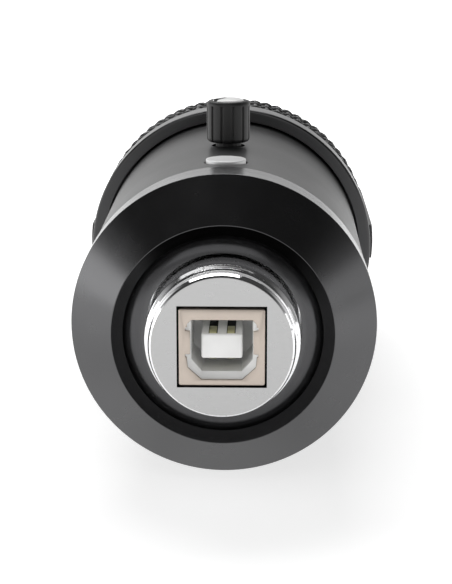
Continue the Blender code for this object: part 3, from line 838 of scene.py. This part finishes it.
@dataclass
class UsbSocket:
    """Square socket: folded shield, white insert with its tongue, and contacts."""

    front: float = -12.5
    shield: tuple[float, float, float] = (12.04, 16.0, 11.0)
    sheet: float = 0.35
    tongue: tuple[float, float] = (5.7, 3.5)
    tongue_set_back: float = 0.75
    cavity_depth: float = 9.6
    lead_in: float = 0.85
    contact_across: float = 1.25
    contact_width: float = 1.0
    slot_width: float = 1.24
    mouth: tuple = ((4.2, 3.9), (4.8, 3.3), (4.8, 2.85), (5.05, 2.85), (5.05, 2.4), (4.36, 2.36),
                    (4.36, -0.95), (5.05, -1.0), (5.05, -1.35), (4.84, -1.4), (4.72, -2.85), (2.8, -4.6))
    throat: tuple = ((4.27, 4.2), (4.27, -2.0), (2.8, -3.72))
    lead: tuple = ((5.0, 4.7), (5.0, -2.8), (2.92, -4.72))

    def ring(self, station: float, half: Sequence[tuple[float, float]]) -> list[Vector]:
        """Mirrors the right half of an outline and places it at a station."""
        left = [(-across, up) for across, up in reversed(half)]
        return [AXIS.place(station, across, up) for across, up in (*half, *left)]

    def build_shield(self) -> None:
        """Folded sheet box with its shaped mouth and rounded folds."""
        width, length, height = self.shield
        middle = self.front + length / 2
        box = block(self.shield, AXIS.place(middle), 0.32, 3)
        hollow = (width - 2 * self.sheet, length, height - 2 * self.sheet)
        inside = block(hollow, AXIS.place(middle + self.sheet))
        mouth = loft([self.ring(self.front - 1.0, self.mouth), self.ring(self.front + 1.0, self.mouth)])
        shell = carve(box, [inside, mouth])
        front_limit = AXIS.place(self.front + 0.05).y

        def on_mouth(edge: bmesh.types.BMEdge) -> bool:
            """Whether an edge is the mouth's front rim."""
            return all(vert.co.y < front_limit and abs(vert.co.x) < 5.2 * MM for vert in edge.verts)

        soften(shell, 0.07, on_mouth)
        add_piece("socket_shield", shell, NICKEL, stands_for=["usb_shield"], smooth_angle=40)

    def build_insert(self) -> None:
        """White insert with its funnelled cavity, tongue and contact channels."""
        width, length, height = self.shield
        front = self.front + self.sheet + 0.08
        size = (width - 2 * self.sheet - 0.2, length - self.sheet - 0.5, height - 2 * self.sheet - 0.2)
        body = block(size, AXIS.place(front + size[1] / 2))
        hollow = loft([
            self.ring(front - 0.5, self.lead), self.ring(front, self.lead),
            self.ring(front + self.lead_in, self.throat), self.ring(front + self.cavity_depth, self.throat)])
        body = carve(body, [hollow])
        tongue_width, tongue_height = self.tongue
        tongue_front = self.front + self.tongue_set_back
        tongue_length = front + self.cavity_depth + 0.3 - tongue_front
        tongue = block((tongue_width, tongue_length, tongue_height),
                       AXIS.place(tongue_front + tongue_length / 2), 0.32, 3)
        channels = []
        for side in (-1, 1):
            for up in (-1, 1):
                middle = AXIS.place(tongue_front + 0.4 + tongue_length / 2, side * self.contact_across,
                                    up * tongue_height / 2)
                channels.append(block((self.slot_width, tongue_length, 0.8), middle))
        tongue = carve(tongue, channels)
        add_piece("socket_insert", carve(body, [tongue], "UNION"), WHITE, stands_for=["usb_insert"])

    def build_contacts(self) -> None:
        """Gilt contacts at the front of their channels, with black strips behind them as painted shade in the
        slots.
        """
        tongue_front = self.front + self.tongue_set_back
        top = self.tongue[1] / 2
        number = 0
        for up in (1, -1):
            for side in (-1, 1):
                number += 1
                across = side * self.contact_across
                strip = self.bent_strip(tongue_front, across, up * (top + 0.06), up)
                add_piece(f"socket_contact_{number}", strip, GOLD, stands_for=[f"usb_contact_{number}"])
                # Each black strip is painted shade, standing for the shadow deep in its contact's channel.
                shade_strip = block((self.slot_width - 0.02, 8.2, 0.5),
                            AXIS.place(tongue_front + 4.7, across, up * (top - 0.30)), 0.04)
                add_piece(f"socket_slot_shade_{number}", shade_strip, PAINTED_SLOT_SHADE)

    def bent_strip(self, tongue_front: float, across: float, level: float, up: int) -> bmesh.types.BMesh:
        """A contact strip that runs level and then dips into its channel."""
        thick, half = 0.28, self.contact_width / 2
        path = [(0.45, level - up * 0.16), (0.7, level), (3.7, level), (4.0, level - up * 0.1),
                (4.3, level - up * 0.5)]
        sections = []
        for distance, height in path:
            sections.append([AXIS.place(tongue_front + distance, across + x, height + z)
                             for x, z in ((-half, thick / 2), (half, thick / 2), (half, -thick / 2),
                                          (-half, -thick / 2))])
        bm = loft(sections)
        soften(bm, 0.05, None, 2)
        return bm

    def build(self) -> None:
        """Makes the whole socket."""
        self.build_shield()
        self.build_insert()
        self.build_contacts()


# ------------------------------------------------------------------ body
@dataclass
class BodyTube:
    """Painted tube with holes for the knob's shaft and for the button."""

    radius: float = 21.9
    wall: float = 1.0
    start: float = 6.7
    end: float = 58.2
    holes: tuple = ((29.5, 2.6), (13.0, 3.25))

    def build(self) -> None:
        """Turns the tube and drills it."""
        inner = self.radius - self.wall
        corners = [(self.start, self.radius, 0.14), (self.end, self.radius, 0.0), (self.end, inner, 0.0),
                   (self.start, inner, 0.0)]
        drills = [rod(AXIS.place(station, 0, 15), AXIS.place(station, 0, 26), radius, segments=FINE_SEGMENTS)
                  for station, radius in self.holes]
        tube = carve(body_spindle().turn(rounded(corners)), drills)
        add_piece("painted_tube", tube, SATIN, stands_for=["body_tube"])


@dataclass
class CollarRing:
    """Turned collar between tube and grille, with a screw in each side."""

    radius: float = 24.3
    inner: float = 22.2
    start: float = 54.5
    end: float = 60.0
    edge: float = 0.45
    screw_station: float = 57.0
    screw_head: float = 1.5
    recess: float = 0.45

    def build_screw(self, side: int, label: str) -> None:
        """Countersunk screw with a crossed recess in its head."""
        face = side * (self.radius - self.recess)
        spindle = Spindle(AXIS.place(self.screw_station, face), Vector((-side, 0, 0)), Vector((0, 1, 0)))
        outline = rounded([(0.0, 0.0, 0.0), (0.02, self.screw_head - 0.12, 0.06),
                           (0.3, self.screw_head, 0.05), (1.1, 1.05, 0.0), (4.6, 1.0, 0.1), (4.6, 0.0, 0.0)])
        head = spindle.turn(outline, 48)
        slots = []
        for size in ((1.2, 1.7, 0.36), (1.2, 0.36, 1.7)):
            slots.append(block(size, AXIS.place(self.screw_station, face), 0.04))
        add_piece(f"collar_screw_{label}", carve(head, slots), STEEL, stands_for=[f"side_screw_{label}"])

    def build(self) -> None:
        """Turns the collar, sinks its screw holes and fits the screws."""
        corners = [(self.start, self.radius, self.edge), (self.end, self.radius, self.edge),
                   (self.end, self.inner, 0.0), (self.start, self.inner, 0.1)]
        sinks = []
        for side in (-1, 1):
            outside = AXIS.place(self.screw_station, side * (self.radius + 1.0))
            inside = AXIS.place(self.screw_station, side * (self.inner - 2.0))
            sinks.append(rod(outside, inside, 1.8))
        collar = carve(body_spindle().turn(rounded(corners, 5)), sinks)
        add_piece("turned_collar", collar, COLLAR_BLACK, stands_for=["collar_ring"])
        self.build_screw(-1, "left")
        self.build_screw(1, "right")


# ------------------------------------------------------------------ controls
@dataclass
class GainKnob:
    """Fluted knob with a white domed cap and a raised pointer."""

    station: float = 29.5
    radius: float = 3.4
    bottom: float = 22.4
    top: float = 28.95
    bore: float = 2.3
    bore_top: float = 27.7
    cap_radius: float = 2.45
    cap_rise: float = 0.40
    flutes: int = 12
    flute_depth: float = 0.24
    flute_width: float = 3.2        # degrees
    flute_phase: float = -76.0      # degrees from +X
    flute_top: float = 28.0
    flute_fade: float = 0.25        # length over which a flute runs out
    pointer_angle: float = -149.0   # degrees from +X

    def cut_flutes(self, bm: bmesh.types.BMesh) -> None:
        """Presses narrow grooves into the knob's side."""
        centre = AXIS.place(self.station)
        step = 360.0 / self.flutes
        for vert in bm.verts:
            offset = vert.co - centre
            distance, height = math.hypot(offset.x, offset.y) / MM, offset.z / MM
            if distance < self.radius - 0.75 or height > self.flute_top + self.flute_fade:
                continue
            angle = math.degrees(math.atan2(offset.y, offset.x)) - self.flute_phase
            away = abs((angle + step / 2) % step - step / 2)
            fade = min(1.0, max(0.0, (self.flute_top + self.flute_fade - height) / self.flute_fade))
            depth = self.flute_depth * math.exp(-(away / self.flute_width) ** 4) * fade
            press = 1.0 - depth / self.radius
            vert.co.x, vert.co.y = centre.x + offset.x * press, centre.y + offset.y * press

    def build_body(self) -> None:
        """Turns the knob's body and cuts its flutes."""
        recess, recess_floor = self.cap_radius + 0.12, self.top - 0.7
        corners = [
            (self.bore_top, 0.0, 0.0), (self.bore_top, self.bore, 0.0), (self.bottom, self.bore, 0.0),
            (self.bottom, self.radius - 0.04, 0.7), (self.bottom + 1.2, self.radius, 0.0),
            (self.flute_top, self.radius, 0.0), (self.flute_top + self.flute_fade, self.radius, 0.0),
            (self.top, self.radius - 0.05, 0.62), (self.top, recess, 0.08), (recess_floor, recess, 0.0),
            (recess_floor, 0.0, 0.0),
        ]
        bm = upright_spindle(self.station).turn(rounded(corners, 5), self.flutes * 24)
        self.cut_flutes(bm)
        add_piece("fluted_knob", bm, KNOB_BLACK, Body.KNOB, ["knob_body"])

    def pointer_bar(self, start: float, end: float, half_width: float, low: float, high: float,
                    rounding: float) -> bmesh.types.BMesh:
        """A bar that runs outwards over the cap along the pointer's direction."""
        size = (end - start, 2 * half_width, high - low)
        bar = block(size, Vector(((start + end) / 2 * MM, 0, 0)), rounding)
        turn = Matrix.Rotation(math.radians(self.pointer_angle), 4, "Z")
        foot = Matrix.Translation(AXIS.place(self.station, 0, (low + high) / 2))
        bmesh.ops.transform(bar, matrix=foot @ turn, verts=bar.verts)
        return bar

    def build_cap(self) -> None:
        """Domed cap with a groove, and the pointer in the groove."""
        seat, rim, steps = self.top - 0.55, self.top - 0.1, 10
        dome = []
        for step in range(steps):
            turn = step / steps * math.pi / 2
            dome.append((rim + (self.cap_rise + 0.1) * math.sin(turn),
                         self.cap_radius * math.cos(turn) ** 0.8))
        outline = [(seat, 0.0), (seat, self.cap_radius), *dome, (self.top + self.cap_rise, 0.0)]
        cap = upright_spindle(self.station).turn(outline, FINE_SEGMENTS)
        groove = self.pointer_bar(0.35, self.cap_radius + 0.5, 0.40, self.top - 0.2, self.top + 1.0, 0.0)
        add_piece("white_knob_cap", carve(cap, [groove]), CAP_WHITE, Body.KNOB, ["knob_cap"])
        pointer = self.pointer_bar(0.40, self.cap_radius, 0.34, self.top - 0.15, self.top + 0.33, 0.06)
        add_piece("raised_pointer", pointer, KNOB_BLACK, Body.KNOB, ["knob_pointer"])

    def build(self) -> None:
        """Makes the whole knob."""
        self.build_body()
        self.build_cap()


@dataclass
class PushButton:
    """Spun metal button with a flange that keeps it in the tube."""

    station: float = 13.0
    radius: float = 3.0
    top: float = 22.25
    flange: tuple[float, float, float] = (19.2, 20.15, 3.6)
    dish: float = 0.12

    def build(self) -> None:
        """Turns the button."""
        low, high, wide = self.flange
        corners = [(low, 0.0, 0.0), (low, wide, 0.1), (high, wide, 0.1), (high, self.radius, 0.0),
                   (self.top, self.radius, 0.14), (self.top - self.dish, 0.0, 0.0)]
        bm = upright_spindle(self.station).turn(rounded(corners), FINE_SEGMENTS)
        add_piece("spun_button_cap", bm, SPUN, Body.BUTTON, ["button_cap"])


# ------------------------------------------------------------------ grille
@dataclass(frozen=True)
class HeadRow:
    """One cross-section of the head: an ellipse, and how it changes along the head."""

    station: float
    half_width: float
    half_depth: float
    slope: tuple[float, float, float] = (1.0, 0.0, 0.0)


@dataclass(eq=False)
class HeadShape:
    """The wedge that the grille is pressed to: round at the collar, thin at the tip."""

    radius: float = 23.7
    start: float = 60.2
    tip: float = 118.3
    corner: float = 24.0
    wedge_start: float = 68.0
    wedge_end: float = 118.3
    wedge_depth: float = 0.52
    samples: int = 260
    rows: list[HeadRow] = field(default_factory=list)
    lengths: list[float] = field(default_factory=list)

    def __post_init__(self) -> None:
        """Measures the front centre line, which rows are spaced along."""
        self.rows = [self.row_at(index / self.samples) for index in range(self.samples + 1)]
        self.lengths = [0.0]
        for first, second in zip(self.rows, self.rows[1:]):
            self.lengths.append(self.lengths[-1] + math.hypot(
                second.station - first.station, second.half_depth - first.half_depth))

    def narrow(self, station: float) -> float:
        """Depth of the wedge at a station, as a share of its width."""
        share = min(max((station - self.wedge_start) / (self.wedge_end - self.wedge_start), 0.0), 1.0)
        return 1.0 - (1.0 - self.wedge_depth) * share ** 1.3

    def row_at(self, share: float) -> HeadRow:
        """The section at a share of the way from the collar to the tip."""
        straight = 0.45
        shoulder = self.tip - self.corner
        if share < straight:
            station, half_width = self.start + (shoulder - self.start) * share / straight, self.radius
        else:
            turn = (share - straight) / (1.0 - straight) * math.pi / 2
            station = shoulder + self.corner * math.sin(turn)
            half_width = self.radius * max(math.cos(turn), 0.0) ** 0.62
        return HeadRow(station, half_width, half_width * self.narrow(station))

    @lru_cache(maxsize=None)
    def row(self, distance: float) -> HeadRow:
        """The section at a distance along the front centre line."""
        index = min(max(bisect_right(self.lengths, distance) - 1, 0), self.samples - 1)
        first, second = self.rows[index], self.rows[index + 1]
        span = self.lengths[index + 1] - self.lengths[index]
        share = (distance - self.lengths[index]) / span
        slope = tuple((b - a) / span for a, b in (
            (first.station, second.station), (first.half_width, second.half_width),
            (first.half_depth, second.half_depth)))
        return HeadRow(first.station + (second.station - first.station) * share,
                       first.half_width + (second.half_width - first.half_width) * share,
                       first.half_depth + (second.half_depth - first.half_depth) * share, slope)

    @lru_cache(maxsize=None)
    def arc(self, distance: float) -> tuple[list[float], list[float]]:
        """Angles round a quarter of a section, and the length of the arc up to each."""
        row, steps = self.row(distance), 60
        angles = [step / steps * math.pi / 2 for step in range(steps + 1)]
        lengths = [0.0]
        for first, second in zip(angles, angles[1:]):
            lengths.append(lengths[-1] + math.hypot(
                row.half_width * (math.sin(second) - math.sin(first)),
                row.half_depth * (math.cos(second) - math.cos(first))))
        return angles, lengths

    def reach(self, distance: float, edge: float) -> float:
        """Length of the arc from the centre line to a height of edge over the middle plane."""
        depth = self.row(distance).half_depth
        if depth <= edge:
            return 0.0
        angles, lengths = self.arc(distance)
        return self.interpolate(angles, lengths, math.acos(edge / depth))

    @staticmethod
    def interpolate(keys: list[float], values: list[float], key: float) -> float:
        """Reads a value between the points of a table."""
        index = min(max(bisect_right(keys, key) - 1, 0), len(keys) - 2)
        share = (key - keys[index]) / (keys[index + 1] - keys[index])
        return values[index] + (values[index + 1] - values[index]) * share

    def surface(self, distance: float, around: float, lift: float, front: int) -> Vector:
        """A place on the head.

        Args:
            distance: Length along the front centre line from the collar.
            around: Length round the section from that line, along X.
            lift: Height over the surface.
            front: 1 on the upper half and -1 on the lower one.

        Returns:
            The place in metres.
        """
        row = self.row(distance)
        angles, lengths = self.arc(distance)
        angle = math.copysign(self.interpolate(lengths, angles, abs(around)), around)
        sine, cosine = math.sin(angle), math.cos(angle)
        along, widen, deepen = row.slope
        normal = Vector((row.half_depth * along * sine,
                         -(widen * row.half_depth * sine * sine + row.half_width * deepen * cosine * cosine),
                         row.half_width * along * cosine)).normalized()
        point = Vector((row.half_width * sine, row.station, row.half_depth * cosine)) + normal * lift
        return AXIS.place(point.y, point.x, point.z * front)


@dataclass
class WovenGrille:
    """Two halves of crimped, woven wire with a band between them and gauze behind."""

    pitch: float = 2.0
    wire: float = 0.35
    crimp: float = 0.32
    steps: int = 4
    band_half_width: float = 2.92
    band_radius: float = 24.1
    band_wall: float = 0.9
    shape: HeadShape = field(default_factory=HeadShape)

    def wires(self, front: int) -> list[list[Vector]]:
        """The paths of one half's wires, over and under each other in turn."""
        fine = self.pitch / self.steps
        rows = int(self.shape.lengths[-1] / self.pitch)
        paths = []
        for row in range(rows + 1):
            distance = row * self.pitch
            limit = self.shape.reach(distance, self.band_half_width)
            count = int(limit / fine)
            if count < self.steps:
                continue
            path = []
            for step in range(-count, count + 1):
                around = step * fine
                lift = -self.crimp * math.cos(math.pi * around / self.pitch) * (-1) ** row
                path.append(self.shape.surface(distance, around, lift, front))
            paths.append(path)
        columns = int(self.shape.reach(0.0, self.band_half_width) / self.pitch)
        for column in range(-columns, columns + 1):
            around = column * self.pitch
            path = []
            for step in range(int(self.shape.lengths[-1] / fine)):
                distance = step * fine
                if self.shape.reach(distance, self.band_half_width) < abs(around):
                    break
                lift = self.crimp * math.cos(math.pi * distance / self.pitch) * (-1) ** column
                path.append(self.shape.surface(distance, around, lift, front))
            if len(path) > self.steps:
                paths.append(path)
        return paths

    def weave(self, front: int) -> bmesh.types.BMesh:
        """Gives each path its wire."""
        curve = bpy.data.curves.new("weave", "CURVE")
        curve.dimensions = "3D"
        curve.bevel_depth = self.wire * MM
        curve.bevel_resolution = 1
        curve.use_fill_caps = True
        for path in self.wires(front):
            spline = curve.splines.new("POLY")
            spline.points.add(len(path) - 1)
            for point, place in zip(spline.points, path):
                point.co = (*place, 1.0)
        holder = bpy.data.objects.new("weave", curve)
        bpy.context.scene.collection.objects.link(holder)
        bpy.context.view_layer.update()
        bm = evaluated_bmesh(holder)
        bpy.data.objects.remove(holder, do_unlink=True)
        return bm

    def build_band(self) -> None:
        """The solid hoop between the halves, crowned like the head."""
        outer = HeadShape(radius=self.band_radius, tip=118.3, corner=24.3, start=60.3)
        columns, levels = 120, 8
        bm = bmesh.new()
        bmesh.ops.create_grid(bm, x_segments=columns, y_segments=levels, size=1.0)
        for vert in bm.verts:
            height = vert.co.y * self.band_half_width
            side = math.copysign(1.0, vert.co.x) if abs(vert.co.x) > 1e-6 else 0.0
            row = outer.row_at(self.band_end(outer, abs(height)) * (1.0 - abs(vert.co.x)))
            inside = max(1.0 - (height / max(row.half_depth, 1e-9)) ** 2, 0.0)
            vert.co = AXIS.place(row.station, side * row.half_width * math.sqrt(inside), height)
        bmesh.ops.recalc_face_normals(bm, faces=bm.faces)
        bmesh.ops.solidify(bm, geom=bm.faces[:], thickness=self.band_wall * MM)
        add_piece("grille_hoop", bm, BAND_BLACK, stands_for=["grille_band"])

    @staticmethod
    def band_end(shape: HeadShape, height: float) -> float:
        """Share of the head's length where its depth has shrunk to a height."""
        low, high = 0.5, 1.0
        for _ in range(40):
            middle = (low + high) / 2
            if shape.row_at(middle).half_depth > height:
                low = middle
            else:
                high = middle
        return low

    def build_gauze(self) -> None:
        """Fine gauze lining under the wires."""
        shape = HeadShape(radius=22.95, tip=116.6, corner=22.9, start=66.3)
        wall, steps = 0.4, 60
        outer = [shape.row_at(step / steps) for step in range(steps)]
        outline = [(row.station, row.half_width) for row in outer] + [(shape.tip, 0.0)]
        inner = [(min(station, shape.tip - wall), max(radius - wall, 0.0)) for station, radius in outline]
        bm = body_spindle().turn(list(reversed(inner)) + outline, FINE_SEGMENTS)
        for vert in bm.verts:
            station = (vert.co.y - AXIS.zero) / MM
            vert.co.z = AXIS.height + (vert.co.z - AXIS.height) * shape.narrow(station)
        add_piece("gauze_lining", bm, GAUZE, stands_for=["grille_liner"])

    def build(self) -> None:
        """Makes both halves, the band and the gauze."""
        add_piece("woven_grille_front", self.weave(1), WIRE, stands_for=["grille_front"], smooth_angle=75)
        add_piece("woven_grille_back", self.weave(-1), WIRE, stands_for=["grille_back"], smooth_angle=75)
        self.build_band()
        self.build_gauze()


# ------------------------------------------------------------------ inside
@dataclass
class Insides:
    """The frame's own nodes that keep their shape and take a better finish."""

    finishes: dict[str, Finish] = field(default_factory=lambda: {
        "usb_board": GREEN, "usb_lead": PLAIN_BLACK, "chassis_plug": ZINC, "head_ring": BAND_BLACK,
        "chassis_bar_left": ZINC, "chassis_bar_right": ZINC, "chassis_screw_base_left": STEEL,
        "chassis_screw_base_right": STEEL, "chassis_screw_head_left": STEEL,
        "chassis_screw_head_right": STEEL, "main_board": GREEN, "board_screw_1": STEEL,
        "board_screw_2": STEEL, "board_screw_3": STEEL, "board_screw_4": STEEL,
        "codec_chip": PLAIN_BLACK, "preamp_chip": PLAIN_BLACK, "clock_crystal": TIN,
        # The control's shaft and bushing take painted shade: near black, for the shadow under the knob.
        "capacitor_1": TIN, "capacitor_2": TIN, "control_body": PLAIN_BLACK, "control_bushing": PAINTED_SHADE_STEEL,
        "control_shaft": PAINTED_SHADE_STEEL, "switch_plunger": PLAIN_BLACK, "switch_housing": PLAIN_BLACK,
        "switch_board": GREEN, "capsule_deck": GREEN, "capsule_saddle": PLAIN_BLACK,
        "capsule_shell": GOLD, "capsule_backplate": TIN, "capsule_diaphragm": GOLD,
        "capsule_lead_red": RED, "capsule_lead_black": PLAIN_BLACK})

    def build(self) -> None:
        """Puts each finish in its node's material slots."""
        for name, finish in self.finishes.items():
            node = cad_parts[name]
            if not node.material_slots:
                node.data.materials.append(finish.material())
            for slot in node.material_slots:
                slot.material = finish.material()
            log.info("%s: %s", name, finish.name)


# ------------------------------------------------------------------ studio
@dataclass
class Softbox:
    """A rectangular studio light that is aimed at a place."""

    name: str
    place: tuple[float, float, float]
    aim: tuple[float, float, float]
    size: tuple[float, float]
    power: float

    def build(self) -> None:
        """Adds the light."""
        light = bpy.data.lights.new(self.name, "AREA")
        light.shape = "RECTANGLE"
        light.size, light.size_y = self.size
        light.energy = self.power
        holder = bpy.data.objects.new(self.name, light)
        holder.location = self.place
        holder.rotation_euler = (Vector(self.aim) - Vector(self.place)).to_track_quat("-Z", "Y").to_euler()
        bpy.context.scene.collection.objects.link(holder)


@dataclass
class Studio:
    """White sweep, softboxes, a surround that is bright low down, and the camera."""

    floor_size: float = 6.0
    floor_drop: float = 0.09
    floor_glow: tuple[float, float] = (0.70, 1.05)     # under the microphone, and far from it
    overhead_light: float = 0.05       # the surround's strength overhead
    front_light: float = 0.55          # what it gains at the horizon in front
    back_light: float = 0.65           # what the horizon behind gains on top of that
    camera_place: tuple[float, float, float] = (-245.36, 5.89, 63.40)   # station, across, up
    camera_pitch: float = 13.403
    camera_yaw: float = 1.304
    lens: float = 107.88
    softboxes: tuple[Softbox, ...] = (
        Softbox("left_softbox", (-0.62, -0.05, 0.13), (0.0, 0.0, 0.03), (0.55, 0.20), 0.7),
        Softbox("right_softbox", (0.62, -0.05, 0.12), (0.0, 0.0, 0.03), (0.40, 0.16), 0.2),
        Softbox("overhead_softbox", (-0.10, 0.40, 0.70), (0.0, 0.0, 0.0), (0.6, 0.4), 4.4),
        Softbox("front_softbox", (-0.1, -0.65, 0.50), (0.0, 0.0, 0.02), (0.90, 0.45), 1.1),
    )

    def build_floor(self) -> None:
        """A wide matte floor with a faint glow, as on a lit sweep."""
        bm = bmesh.new()
        bmesh.ops.create_grid(bm, x_segments=1, y_segments=1, size=self.floor_size)
        bmesh.ops.translate(bm, verts=bm.verts, vec=(0, 0, -self.floor_drop * MM))
        mesh = bpy.data.meshes.new("studio_floor")
        bm.to_mesh(mesh)
        bm.free()
        material = bpy.data.materials.new("white_sweep")
        material.use_nodes = True
        graph = Graph(material.node_tree)
        shader = graph.node("ShaderNodeBsdfPrincipled", None, {
            "Base Color": (0.55, 0.55, 0.55, 1.0), "Roughness": 0.7, "Specular IOR Level": 0.1,
            "Emission Strength": 1.0})
        x, y, _ = graph.parts(graph.position())
        away = (x * x + y * y * 0.36).root().smooth(0.02, 0.16)
        near, far = ((glow, glow, glow) for glow in self.floor_glow)
        graph.tree.links.new(graph.mix(away, near, far), shader.inputs["Emission Color"])
        graph.node("ShaderNodeOutputMaterial", None, {"Surface": shader.outputs[0]})
        mesh.materials.append(material)
        floor = bpy.data.objects.new("studio_floor", mesh)
        bpy.context.scene.collection.objects.link(floor)
        floor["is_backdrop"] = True

    def build_surround(self) -> None:
        """Surround light: bright near the horizon, brightest behind, dark overhead."""
        world = bpy.data.worlds.new("studio_surround")
        bpy.context.scene.world = world
        world.use_nodes = True
        graph = Graph(world.node_tree)
        direction = graph.node("ShaderNodeTexCoord").outputs["Generated"]
        side, back, rise = graph.parts(direction)
        low = 1.0 - rise.smooth(0.22, 0.62)
        behind = back.smooth(-0.2, 0.7)
        left = side.smooth(-0.7, 0.7, 1.0, 0.5)
        strength = self.overhead_light + low * left * (self.front_light + behind * self.back_light)
        background = graph.node("ShaderNodeBackground", None,
                                {"Color": (1.0, 1.0, 1.0, 1.0), "Strength": strength})
        graph.node("ShaderNodeOutputWorld", None, {"Surface": background.outputs[0]})

    def build_camera(self) -> None:
        """The camera looks along the body from just above the connector end."""
        camera = bpy.data.cameras.new("camera")
        camera.lens = self.lens
        camera.sensor_width = 36.0
        camera.clip_start = 0.01
        holder = bpy.data.objects.new("camera", camera)
        holder.location = AXIS.place(*self.camera_place)
        holder.rotation_euler = (math.radians(90.0 - self.camera_pitch), 0.0, math.radians(self.camera_yaw))
        bpy.context.scene.collection.objects.link(holder)
        bpy.context.scene.camera = holder

    def build(self) -> None:
        """Sets up the whole studio."""
        self.build_camera()
        self.build_floor()
        self.build_surround()
        for softbox in self.softboxes:
            softbox.build()
        bpy.context.scene.view_settings.view_transform = "Standard"


def write_sizes(before: object, after: object) -> None:
    """Puts the frame's box and the visual model's box in plain lists, and keeps nothing."""
    def plain(item: object) -> object:
        """Turns vectors into lists."""
        if isinstance(item, (int, float, str)) or item is None:
            return item
        if isinstance(item, dict):
            return {key: plain(part) for key, part in item.items()}
        return [plain(part) for part in item]

    {"cad": plain(before), "visual": plain(after)}


def main() -> None:
    """Builds every sub-assembly in order."""
    logging.basicConfig(level=logging.INFO, format="%(message)s")
    frame_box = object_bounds()
    for assembly in (Studio(), BaseRing(), ConnectorBarrel(), UsbSocket(), BodyTube(), CollarRing(),
                     GainKnob(), PushButton(), WovenGrille(), Insides()):
        assembly.build()
        log.info("%s is done", type(assembly).__name__)
    write_sizes(frame_box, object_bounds())


if __name__ == "__main__":
    main()
